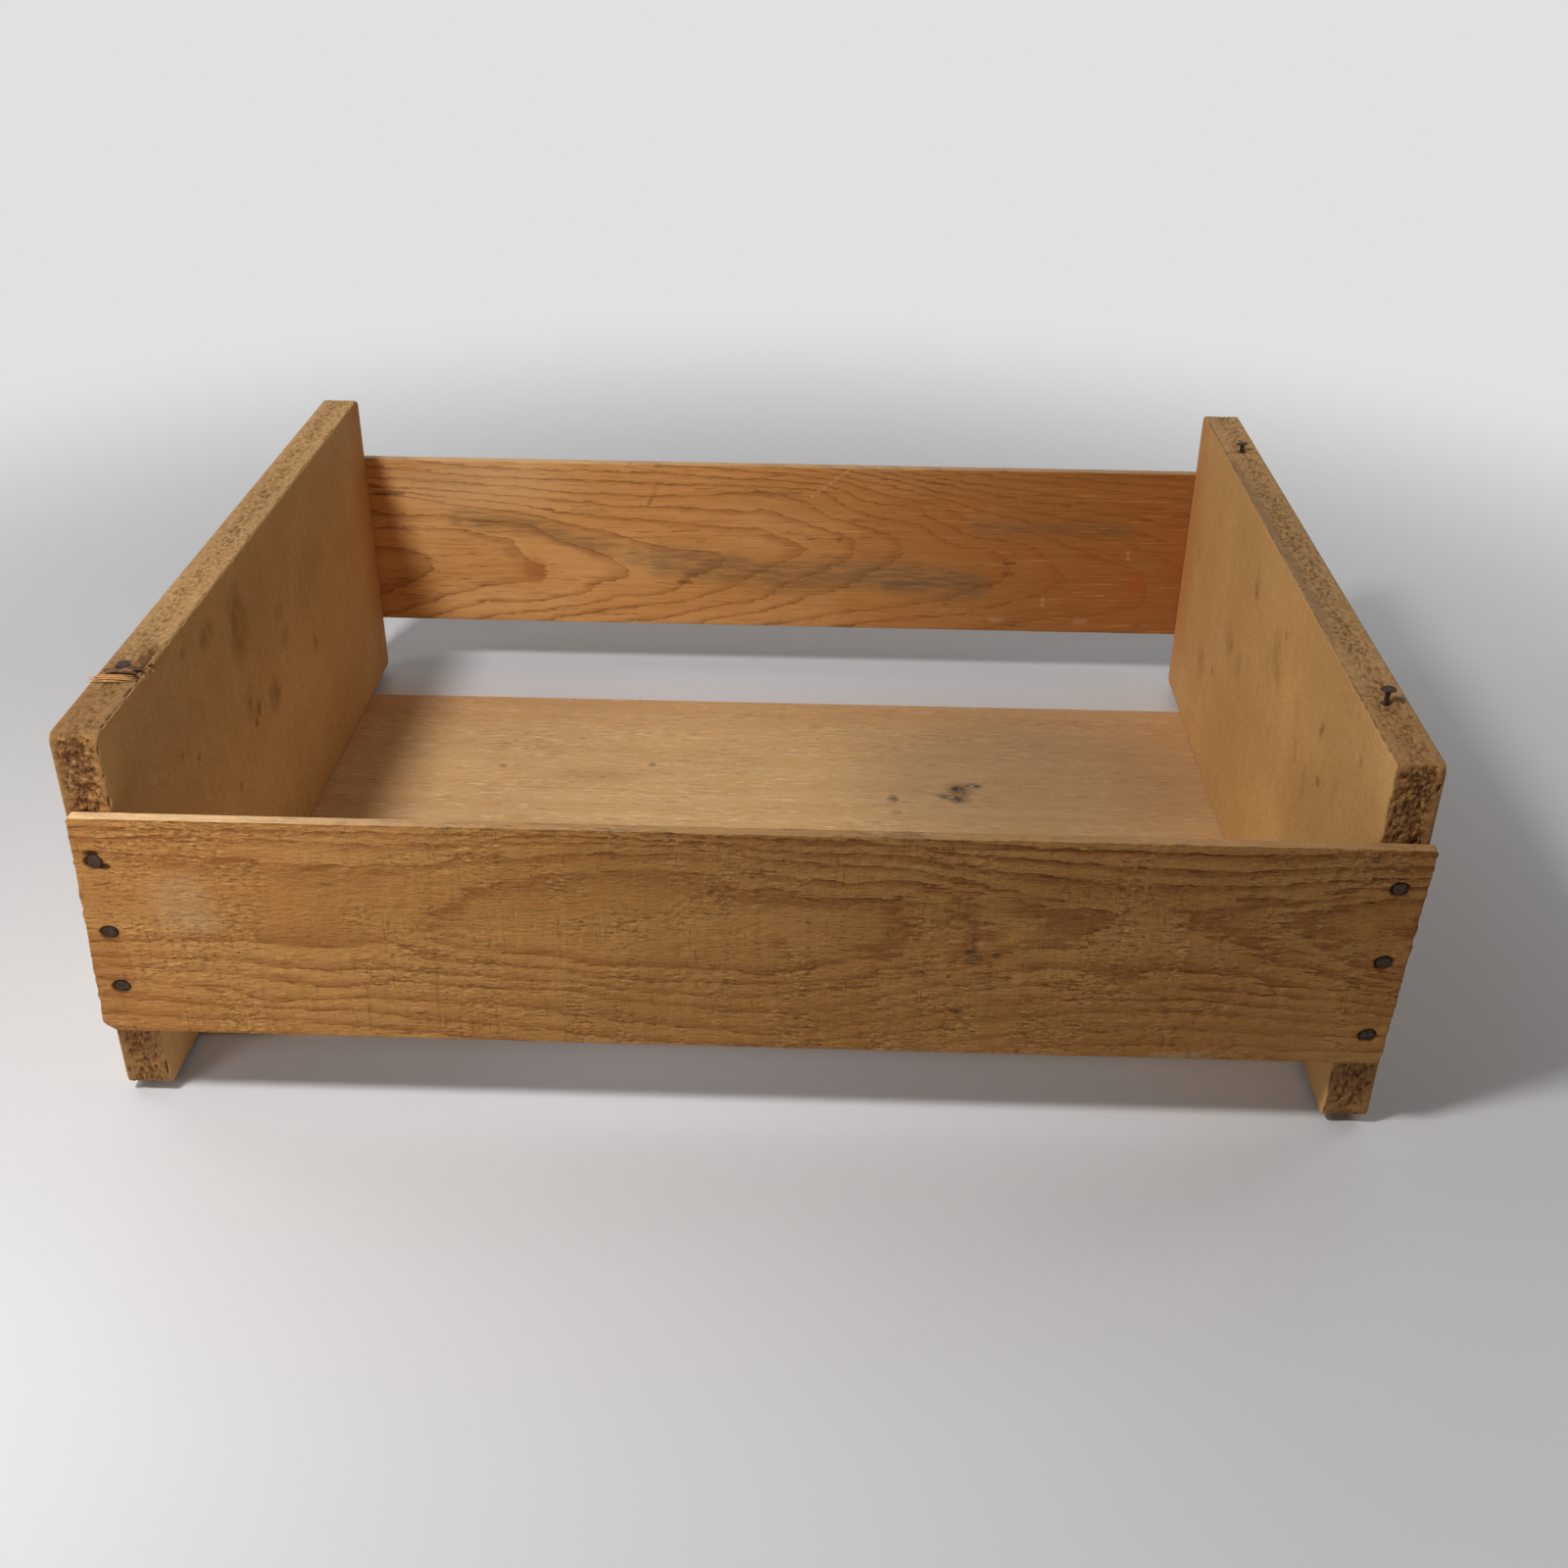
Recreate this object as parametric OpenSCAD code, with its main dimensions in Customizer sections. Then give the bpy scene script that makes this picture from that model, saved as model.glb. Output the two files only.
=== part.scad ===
/* [Crate] */
// Length over the outer faces of the two end boards
crate_len = 442; // [330:1:600]
// Depth of the crate from front to back, over the end boards only
crate_w = 341; // [250:1:450]

/* [End boards] */
// Thickness of the chipboard ends
end_t = 16; // [12:0.5:22]
// Height of the chipboard ends
end_h = 143.5; // [138:0.5:180]
// Worn round at the four corners of each end
end_corner_r = 3; // [1:0.5:6]

/* [Side slats] */
// Thickness of the front and back slats
slat_t = 4.6; // [3:0.1:8]
// Height of the front and back slats
slat_h = 87; // [80:1:96]
// Front slat's lower edge above the lower edge of the ends
front_slat_rise = 28.2; // [20:0.1:36]
// Back slat's lower edge above the lower edge of the ends
back_slat_rise = 26.2; // [20:0.1:36]
// How far the front slat's ends run off square over its height
front_slat_skew = 3.4; // [0:0.1:6]
// Length of the corner broken off at the front slat's lower left
chip_len = 4.4; // [1:0.1:6]
// Height of that broken corner
chip_h = 2.6; // [1:0.1:6]

/* [Bottom board] */
// Thickness of the bottom board, which lies under the ends
bottom_t = 3.2; // [2.4:0.1:8]
// Open gap between the bottom board and the front and back edges of the ends
bottom_gap = 35; // [10:1:60]
// How far the bottom board stops short of the ends' outer faces
bottom_setback = 1; // [0:0.5:4]

/* [Nails] */
// Shank diameter of every nail
nail_d = 1.9; // [1.5:0.1:2.4]
// Length of every nail from the top of its head to its point
nail_len = 38; // [30:1:40]
// Diameter of the flat heads
nail_head_d = 5.6; // [4.6:0.1:6.4]
// Thickness of the flat heads
nail_head_t = 0.7; // [0.5:0.1:1]
// Length of the nail's tapered point
nail_point = 3; // [2:0.5:5]
// Diameter of the blunt tip
nail_tip_d = 0.4; // [0.3:0.1:0.6]
// How far the heads are driven below the face of the board
nail_sink = 0.4; // [0:0.1:0.8]
// Clearance between a nail and the wood, on the radius
nail_fit = 0.1; // [0.05:0.05:0.2]

/* [Nail heights above the lower edge of a slat] */
// Front slat, left end, lowest nail
front_left_low = 19.2; // [9:0.1:26]
// Front slat, left end, middle nail
front_left_mid = 41.9; // [35:0.1:50]
// Front slat, left end, highest nail
front_left_high = 70; // [59:0.1:75]
// Front slat, right end, lowest nail
front_right_low = 12.3; // [9:0.1:26]
// Front slat, right end, middle nail
front_right_mid = 42.8; // [35:0.1:50]
// Front slat, right end, highest nail
front_right_high = 71.8; // [59:0.1:75]
// Back slat, lowest nail at each end
back_low = 15; // [9:0.1:26]
// Back slat, middle nail at each end
back_mid = 43; // [35:0.1:50]
// Back slat, highest nail at each end
back_high = 71; // [59:0.1:75]

/* [Nails of the bottom board] */
// Distance of the outer nails from the long edges of the bottom board
bottom_nail_inset = 30; // [10:1:50]

/* [Nails left from the lid] */
// Right front nail, distance from the end's front edge
lid_right_front_inset = 43; // [42:0.5:70]
// Right front nail, bare shank between the end and the head
lid_right_front_proud = 4.6; // [1:0.1:10]
// Right back nail, distance from the end's back edge
lid_right_back_inset = 52; // [42:0.5:70]
// Right back nail, bare shank between the end and the head
lid_right_back_proud = 3.2; // [1:0.1:10]
// Left front nail, distance from the end's front edge
lid_left_front_inset = 47; // [44:0.5:70]
// Left back nail hole, now empty, distance from the end's back edge
lid_left_back_inset = 43.5; // [42:0.5:70]
// Depth of that empty hole
lid_hole_depth = 30; // [10:1:34]

/* [Splinter of the lid under the left front nail] */
// Thickness of the splinter
splinter_t = 1.6; // [1:0.1:2.5]
// Length of the splinter along the crate
splinter_len = 15; // [12:0.5:20]
// Width of the splinter
splinter_w = 12; // [10:0.5:16]

/* [Hidden] */
$fn = 48;

// Colours as the crate shows them
chipboard_color = [0.66, 0.49, 0.31];
slat_color = [0.62, 0.42, 0.22];
bottom_color = [0.74, 0.57, 0.37];
nail_color = [0.23, 0.19, 0.17];
splinter_color = [0.80, 0.56, 0.32];

// The crate stands on z = 0, centred on x = 0 and y = 0, with its front at -y
LEFT = -1;
RIGHT = 1;
end_bottom = bottom_t;
end_top = end_bottom + end_h;
end_centre = crate_len / 2 - end_t / 2;
front_y = -crate_w / 2;
back_y = crate_w / 2;

front_left_nails = [front_left_low, front_left_mid, front_left_high];
front_right_nails = [front_right_low, front_right_mid, front_right_high];
back_nails = [back_low, back_mid, back_high];
bottom_w = crate_w - 2 * bottom_gap;
bottom_nail_y = bottom_w / 2 - bottom_nail_inset;

// Outline of the splinter, in halves of its length and width
splinter_outline = [[-1, -0.6], [-0.4, -1], [1, -0.9], [0.6, 0.3], [0.3, 1], [-0.5, 0.8]];

// Reach of a bore beyond the face that it opens on
open_end = 10;

// A nail that points down, with the top of its head at the origin
module nail() {
    translate([0, 0, -nail_head_t]) cylinder(d = nail_head_d, h = nail_head_t);
    translate([0, 0, nail_point - nail_len])
        cylinder(d = nail_d, h = nail_len - nail_point - nail_head_t / 2);
    translate([0, 0, -nail_len]) cylinder(d1 = nail_tip_d, d2 = nail_d, h = nail_point);
}

// The bore that a nail leaves, closed at its tip, with a seat for its head
module nail_bore() {
    translate([0, 0, -nail_len]) cylinder(d = nail_d + 2 * nail_fit, h = nail_len);
    translate([0, 0, -nail_head_t]) cylinder(d = nail_head_d + 2 * nail_fit, h = nail_head_t + open_end);
}

// Places a nail or its bore in the front slat, driven towards the back
module at_front(side, heights) {
    for (z = heights)
        translate([side * end_centre, front_y - slat_t + nail_sink, end_bottom + front_slat_rise + z])
            rotate([90, 0, 0]) children();
}

// Places a nail or its bore in the back slat, driven towards the front
module at_back(side) {
    for (z = back_nails)
        translate([side * end_centre, back_y + slat_t - nail_sink, end_bottom + back_slat_rise + z])
            rotate([-90, 0, 0]) children();
}

// Places a nail or its bore in the bottom board, driven upwards
module at_bottom(side) {
    for (y = [-bottom_nail_y, 0, bottom_nail_y])
        translate([side * end_centre, y, nail_sink]) rotate([180, 0, 0]) children();
}

// Places a nail or its bore in the top edge of an end, with its head clear of the edge
module at_lid(side, y, proud) {
    translate([side * end_centre, y, end_top + proud + nail_head_t]) children();
}

module at_lid_right_front() {
    at_lid(RIGHT, front_y + lid_right_front_inset, lid_right_front_proud) children();
}

module at_lid_right_back() {
    at_lid(RIGHT, back_y - lid_right_back_inset, lid_right_back_proud) children();
}

module at_lid_left_front() {
    at_lid(LEFT, front_y + lid_left_front_inset, splinter_t) children();
}

// Side view of an end board, with round corners
module end_outline() {
    flat_w = crate_w - 2 * end_corner_r;
    flat_h = end_h - 2 * end_corner_r;
    translate([-flat_w / 2, 0]) square([flat_w, end_h]);
    translate([-crate_w / 2, end_corner_r]) square([crate_w, flat_h]);
    for (x = [-flat_w / 2, flat_w / 2], z = [end_corner_r, end_corner_r + flat_h])
        translate([x, z]) circle(r = end_corner_r);
}

// One end board, standing on the bottom board
module end_blank(side) {
    translate([side * end_centre - end_t / 2, 0, end_bottom])
        rotate([90, 0, 90]) linear_extrude(end_t) end_outline();
}

module left_end() {
    color(chipboard_color) difference() {
        end_blank(LEFT);
        at_front(LEFT, front_left_nails) nail_bore();
        at_back(LEFT) nail_bore();
        at_bottom(LEFT) nail_bore();
        at_lid_left_front() nail_bore();
        translate([-end_centre, back_y - lid_left_back_inset, end_top - lid_hole_depth])
            cylinder(d = nail_d + 2 * nail_fit, h = lid_hole_depth + open_end);
    }
}

module right_end() {
    color(chipboard_color) difference() {
        end_blank(RIGHT);
        at_front(RIGHT, front_right_nails) nail_bore();
        at_back(RIGHT) nail_bore();
        at_bottom(RIGHT) nail_bore();
        at_lid_right_front() nail_bore();
        at_lid_right_back() nail_bore();
    }
}

// The front slat's ends lean to the right, and its lower left corner is broken off
module front_slat() {
    half = crate_len / 2;
    lean = front_slat_skew / 2;
    color(slat_color) difference() {
        translate([0, front_y, end_bottom + front_slat_rise])
            rotate([90, 0, 0]) linear_extrude(slat_t) polygon([
                [-half - lean + chip_len, 0],
                [half - lean, 0],
                [half + lean, slat_h],
                [-half + lean, slat_h],
                [-half - lean, chip_h]]);
        at_front(LEFT, front_left_nails) nail_bore();
        at_front(RIGHT, front_right_nails) nail_bore();
    }
}

module back_slat() {
    color(slat_color) difference() {
        translate([-crate_len / 2, back_y, end_bottom + back_slat_rise]) cube([crate_len, slat_t, slat_h]);
        at_back(LEFT) nail_bore();
        at_back(RIGHT) nail_bore();
    }
}

module bottom_board() {
    bottom_len = crate_len - 2 * bottom_setback;
    color(bottom_color) difference() {
        translate([-bottom_len / 2, -bottom_w / 2, 0]) cube([bottom_len, bottom_w, bottom_t]);
        at_bottom(LEFT) nail_bore();
        at_bottom(RIGHT) nail_bore();
    }
}

module front_nails_left() {
    color(nail_color) at_front(LEFT, front_left_nails) nail();
}

module front_nails_right() {
    color(nail_color) at_front(RIGHT, front_right_nails) nail();
}

module back_nails_left() {
    color(nail_color) at_back(LEFT) nail();
}

module back_nails_right() {
    color(nail_color) at_back(RIGHT) nail();
}

module bottom_nails_left() {
    color(nail_color) at_bottom(LEFT) nail();
}

module bottom_nails_right() {
    color(nail_color) at_bottom(RIGHT) nail();
}

module lid_nail_right_front() {
    color(nail_color) at_lid_right_front() nail();
}

module lid_nail_right_back() {
    color(nail_color) at_lid_right_back() nail();
}

module lid_nail_left_front() {
    color(nail_color) at_lid_left_front() nail();
}

// A sliver torn from the lid, pointed at both ends, held under the nail's head
module lid_splinter() {
    half_size = [splinter_len / 2, splinter_w / 2];
    outline = [for (share = splinter_outline) [share.x * half_size.x, share.y * half_size.y]];
    color(splinter_color) difference() {
        translate([-end_centre, front_y + lid_left_front_inset, end_top])
            linear_extrude(splinter_t) polygon(outline);
        at_lid_left_front() nail_bore();
    }
}

left_end();
right_end();
front_slat();
back_slat();
bottom_board();
front_nails_left();
front_nails_right();
back_nails_left();
back_nails_right();
bottom_nails_left();
bottom_nails_right();
lid_nail_right_front();
lid_nail_right_back();
lid_nail_left_front();
lid_splinter();
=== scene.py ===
"""The wooden crate, dressed: sawn and planed softwood slats, chipboard ends, rusty nails.

Lengths are in millimetres until a mesh is made, and then in metres. Each board is built in its
own frame: u along the board, v across it and w through it, with its main face at the highest w.
"""
import math

import bpy
import numpy as np
from mathutils import Matrix, Vector
from mathutils.geometry import delaunay_2d_cdt


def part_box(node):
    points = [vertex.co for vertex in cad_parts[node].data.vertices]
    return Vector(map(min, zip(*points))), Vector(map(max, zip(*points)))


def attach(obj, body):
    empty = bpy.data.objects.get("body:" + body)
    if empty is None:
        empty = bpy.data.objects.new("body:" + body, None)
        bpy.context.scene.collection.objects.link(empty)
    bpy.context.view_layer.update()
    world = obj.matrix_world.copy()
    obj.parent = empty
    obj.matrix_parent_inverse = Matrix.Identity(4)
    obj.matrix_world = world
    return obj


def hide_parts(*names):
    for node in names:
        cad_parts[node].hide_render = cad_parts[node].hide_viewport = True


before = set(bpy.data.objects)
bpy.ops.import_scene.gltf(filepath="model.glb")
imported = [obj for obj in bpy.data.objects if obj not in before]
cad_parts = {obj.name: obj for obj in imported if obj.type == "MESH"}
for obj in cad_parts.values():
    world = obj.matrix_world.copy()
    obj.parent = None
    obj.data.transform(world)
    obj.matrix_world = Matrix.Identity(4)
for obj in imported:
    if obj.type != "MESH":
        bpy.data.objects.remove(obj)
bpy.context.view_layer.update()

MM = 0.001
BODY = "root"


# Sizes that the part's source has too

END_T = 16
SLAT_T = 4.6
FRONT_SKEW = 3.4
CHIP_LEN = 4.4
CHIP_H = 2.6
END_CORNER_R = 3
NAIL_D = 1.9
NAIL_LEN = 38
NAIL_POINT = 3
NAIL_TIP_D = 0.4
NAIL_HEAD_D = 5.6
NAIL_HEAD_T = 0.7
NAIL_SINK = 0.4
HEAD_WIDE = 1.06
HEAD_HIGH = 0.88


def corners_of(node):
    """Lowest and highest corner of a node, in millimetres."""
    low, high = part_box(node)
    return np.array(low) / MM, np.array(high) / MM


# Noise on a grid of random values

def smooth(t):
    return t * t * (3 - 2 * t)


def ramp(value, low, high):
    """0 below low, 1 above high, smooth between."""
    return smooth(np.clip((value - low) / (high - low), 0, 1))


def noise(u, v, cell_u, cell_v, seed, octaves=1):
    """Smooth noise from 0 to 1, with a cell of the given size for its first octave."""
    total, share = 0.0, 0.0
    for octave in range(octaves):
        table = np.random.default_rng(seed + octave).random((256, 256))
        x = np.asarray(u) / cell_u * 2 ** octave
        y = np.asarray(v) / cell_v * 2 ** octave
        column, row = np.floor(x).astype(int), np.floor(y).astype(int)
        fx, fy = smooth(x - column), smooth(y - row)
        low = table[row % 256, column % 256] * (1 - fx) + table[row % 256, (column + 1) % 256] * fx
        high = (table[(row + 1) % 256, column % 256] * (1 - fx)
                + table[(row + 1) % 256, (column + 1) % 256] * fx)
        total = total + (low * (1 - fy) + high * fy) * 0.5 ** octave
        share += 0.5 ** octave
    return total / share


# Marks painted on a board

def spot(u, v, marks):
    """How strongly soft ovals (u, v, half length, half width, strength) cover each point."""
    cover = np.zeros(len(u))
    for mark_u, mark_v, half_u, half_v, strength in marks:
        reach = np.hypot((u - mark_u) / half_u, (v - mark_v) / half_v)
        cover = np.maximum(cover, strength * (1 - ramp(reach, 0.35, 1.15)))
    return cover


def stroke(u, v, marks):
    """How strongly soft strokes (points, half width, strength) cover each point."""
    cover = np.zeros(len(u))
    for points, half_width, strength in marks:
        for (u0, v0), (u1, v1) in zip(points, points[1:]):
            run_u, run_v = u1 - u0, v1 - v0
            along = ((u - u0) * run_u + (v - v0) * run_v) / (run_u ** 2 + run_v ** 2)
            along = np.clip(along, 0, 1)
            away = np.hypot(u - u0 - along * run_u, v - v0 - along * run_v)
            cover = np.maximum(cover, strength * (1 - ramp(away / half_width, 0.3, 1.3)))
    return cover


# Growth rings drawn as lines, with a smooth field between them

RING_STRETCH = 3.0
RING_STEP = 9.0


def kernel(square):
    return square * np.log(square + 1e-9)


def ring_field(lines):
    """A function of (u, v) that takes each line's number along that line."""
    points, numbers = [], []
    for number, line in lines:
        for (u0, v0), (u1, v1) in zip(line, line[1:]):
            count = max(1, int(math.hypot(u1 - u0, v1 - v0) / RING_STEP))
            for k in range(count):
                points.append((u0 + (u1 - u0) * k / count, v0 + (v1 - v0) * k / count))
                numbers.append(number)
        points.append(line[-1])
        numbers.append(number)
    points = np.array(points) / [10 * RING_STRETCH, 10]
    count = len(points)
    gap = ((points[:, None] - points[None]) ** 2).sum(-1)
    plane = np.column_stack([np.ones(count), points])
    system = np.block([[kernel(gap) + 0.02 * np.eye(count), plane], [plane.T, np.zeros((3, 3))]])
    weights = np.linalg.solve(system, np.concatenate([numbers, np.zeros(3)]))

    def field(u, v):
        places = np.column_stack([u, v]) / [10 * RING_STRETCH, 10]
        out = np.empty(len(places))
        for start in range(0, len(places), 8000):
            part = places[start:start + 8000]
            square = ((part[:, None] - points[None]) ** 2).sum(-1)
            out[start:start + 8000] = (kernel(square) @ weights[:count]
                                       + weights[count] + part @ weights[count + 1:])
        return out

    return field


def add_rings(board, lines, middle):
    """Gives the board its ring number, how fast that runs along u, and a ring's width in mm."""
    field = ring_field(lines)
    u, v = board.u, board.v + middle
    value = field(u, v)
    along, across = (field(u + 0.5, v) - value) / 0.5, (field(u, v + 0.5) - value) / 0.5
    board.paint["ring"] = value
    board.paint["ring_run"] = along
    board.paint["ring_width"] = np.clip(1 / np.maximum(np.hypot(along, across), 0.04), 1, 25)


# Boards

class Board:
    """Points and faces of a board, and what is painted on them, in the board's own frame."""

    def __init__(self, length, width, thick, arris, corner, step, row, pitches, outline=None,
                 wrap=4.0, dimples=((), ())):
        self.size = np.array([length, width, thick], float)
        half = self.size[:2] / 2
        corners = outline or [(-half[0], -half[1]), (half[0], -half[1]),
                              (half[0], half[1]), (-half[0], half[1])]
        rim = rounded_outline(corners, corner, step)
        profile = edge_profile(thick, arris, row, wrap)
        scale = (half[None] - profile[:, :1]) / half[None]
        band = rim[:, None, :] * scale[None]
        height = np.broadcast_to(profile[None, :, 1], band.shape[:2])
        self.columns, self.rows = band.shape[:2]
        lengths = np.hypot(*np.diff(np.vstack([rim, rim[:1]]), axis=0).T)
        self.around = np.concatenate([[0], np.cumsum(lengths)[:-1]])
        self.perimeter = lengths.sum()
        through = np.hypot(*np.diff(profile, axis=0).T)
        self.across = np.concatenate([[0], np.cumsum(through)])
        points = [np.dstack([band, height]).reshape(-1, 3)]
        faces = band_faces(self.columns, self.rows)
        for side, pitch in enumerate(pitches):
            loop = np.arange(self.columns) * self.rows + (self.rows - 1 if side else 0)
            inside = cap_points(half - wrap, pitch, dimples[side])
            start = sum(len(p) for p in points)
            numbers = np.concatenate([loop, start + np.arange(len(inside))])
            flat = np.vstack([points[0][loop, :2], inside])
            faces += cap_faces(flat, self.columns, numbers, flip=bool(side))
            level = 0.0 if side else thick
            points.append(np.column_stack([inside, np.full(len(inside), level)]))
        self.points = np.vstack(points)
        self.faces = faces
        self.normals = self.find_normals()
        self.paint = {}
        self.push = np.zeros(len(self.points))

    @property
    def u(self):
        return self.points[:, 0]

    @property
    def v(self):
        return self.points[:, 1]

    @property
    def w(self):
        return self.points[:, 2]

    @property
    def front(self):
        """1 on the main face, 0 elsewhere."""
        return ramp(self.normals[:, 2], 0.6, 0.98)

    @property
    def back(self):
        return ramp(-self.normals[:, 2], 0.6, 0.98)

    @property
    def rim(self):
        return 1 - np.maximum(self.front, self.back)

    def grid(self, values):
        """The part of a list of values that belongs to the rim, as columns and rows."""
        return values[:self.columns * self.rows].reshape(self.columns, self.rows)

    def find_normals(self):
        mesh = bpy.data.meshes.new("measure")
        mesh.from_pydata(self.points.tolist(), [], self.faces)
        out = np.empty(len(self.points) * 3)
        mesh.vertex_normals.foreach_get("vector", out)
        bpy.data.meshes.remove(mesh)
        return out.reshape(-1, 3)

    def make(self, name, node, place, axes, material, slot, shear=0.0):
        """Moves the points along their normals and makes the Blender object."""
        points = self.points + self.normals * self.push[:, None]
        half = self.size / 2
        points[:, 0] = np.clip(points[:, 0], -half[0], half[0])
        points[:, 1] = np.clip(points[:, 1], -half[1], half[1])
        points[:, 2] = np.clip(points[:, 2], 0, self.size[2])
        points[:, 0] += shear * points[:, 1] / self.size[1]
        world = np.asarray(place, float) + points @ np.asarray(axes, float)
        mesh = bpy.data.meshes.new(name)
        mesh.from_pydata((world * MM).tolist(), [], self.faces)
        mesh.polygons.foreach_set("use_smooth", [True] * len(mesh.polygons))
        for label, values in self.paint.items():
            layer = mesh.attributes.new(label, "FLOAT", "POINT")
            layer.data.foreach_set("value", np.ascontiguousarray(values, dtype=np.float32))
        mesh.validate()
        piece = bpy.data.objects.new(name, mesh)
        bpy.context.scene.collection.objects.link(piece)
        mesh.materials.append(material)
        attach(piece, BODY)
        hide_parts(node)
        return piece


def rounded_outline(corners, radius, step):
    """Points a step apart round a convex outline, anticlockwise, with rounded corners."""
    corners = [np.array(c, float) for c in corners]
    path = []
    for i, corner in enumerate(corners):
        before = corners[i - 1] - corner
        after = corners[(i + 1) % len(corners)] - corner
        before, after = before / np.hypot(*before), after / np.hypot(*after)
        half = math.acos(np.clip(before @ after, -1, 1)) / 2
        middle = before + after
        centre = corner + middle / np.hypot(*middle) * radius / math.sin(half)
        start = corner + before * radius / math.tan(half) - centre
        first = math.atan2(start[1], start[0])
        for share in np.linspace(0, 1, 7):
            angle = first + (math.pi - 2 * half) * share
            path.append(centre + radius * np.array([math.cos(angle), math.sin(angle)]))
    path = np.array(path + path[:1])
    reached = np.concatenate([[0], np.cumsum(np.hypot(*np.diff(path, axis=0).T))])
    stops = np.linspace(0, reached[-1], int(reached[-1] / step), endpoint=False)
    return np.column_stack([np.interp(stops, reached, path[:, k]) for k in (0, 1)])


def edge_profile(thick, arris, row, wrap):
    """(inset, height) from the main face, over its arris and down the edge to the other face."""
    face = [inset for inset in np.linspace(wrap, arris, 1 + round((wrap - arris) / row))[:-1]]
    turn = np.linspace(math.pi / 2, 0, 4)
    top = [(inset, thick) for inset in face]
    top += [(arris - arris * math.cos(a), thick - arris + arris * math.sin(a)) for a in turn]
    levels = np.linspace(thick - arris, thick / 2, max(2, round((thick / 2 - arris) / row)))[1:]
    top += [(0, level) for level in levels]
    under = [(inset, thick - height) for inset, height in reversed(top[:-1])]
    return np.array(top + under)


def band_faces(columns, rows):
    faces = []
    for i in range(columns):
        here, there = i * rows, (i + 1) % columns * rows
        faces += [(here + j, here + j + 1, there + j + 1, there + j) for j in range(rows - 1)]
    return faces


def cap_points(half, pitch, dimples):
    """Points of a face inside its rim, in staggered rows, with rings of them round dimples."""
    clear = half - 0.7 * pitch
    rows = np.linspace(-clear[1], clear[1], int(2 * clear[1] / (pitch * 0.87)) + 1)
    count = int(2 * clear[0] / pitch)
    lines = []
    for k, level in enumerate(rows):
        shift = pitch / 4 if k % 2 else -pitch / 4
        along = np.linspace(-clear[0] + pitch / 4, clear[0] - pitch / 4, count) + shift
        lines.append(np.column_stack([along, np.full(count, level)]))
    points = np.vstack(lines)
    for u, v, reach in dimples:
        away = np.hypot(points[:, 0] - u, points[:, 1] - v)
        points = points[away > reach + 0.5 * pitch]
        rings = [(0, 0.0, 1)] + [(k, reach * share, 36) for k, share in
                                 enumerate((0.45, 0.72, 0.84, 0.9, 0.97, 1.06), 1)]
        for k, radius, steps in rings:
            angles = 2 * math.pi * (np.arange(steps) + 0.5 * (k % 2)) / steps
            ring = np.column_stack([u + radius * np.cos(angles), v + radius * np.sin(angles)])
            points = np.vstack([points, ring])
    inside = (np.abs(points) < half - 0.25 * min(pitch, 1.0)).all(axis=1)
    return points[inside]


def cap_faces(flat, loop_count, numbers, flip):
    """Triangles between the rim's inner loop and the points inside it."""
    edges = [(i, (i + 1) % loop_count) for i in range(loop_count)]
    found = delaunay_2d_cdt([Vector(p) for p in flat], edges, [], 1, 1e-6)
    origin = [numbers[ids[0]] for ids in found[3]]
    faces = []
    for a, b, c in found[2]:
        pa, pb, pc = found[0][a], found[0][b], found[0][c]
        turn = (pb.x - pa.x) * (pc.y - pa.y) - (pb.y - pa.y) * (pc.x - pa.x)
        face = (int(origin[a]), int(origin[b]), int(origin[c]))
        faces.append(face if (turn > 0) != flip else face[::-1])
    return faces


# Materials

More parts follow.
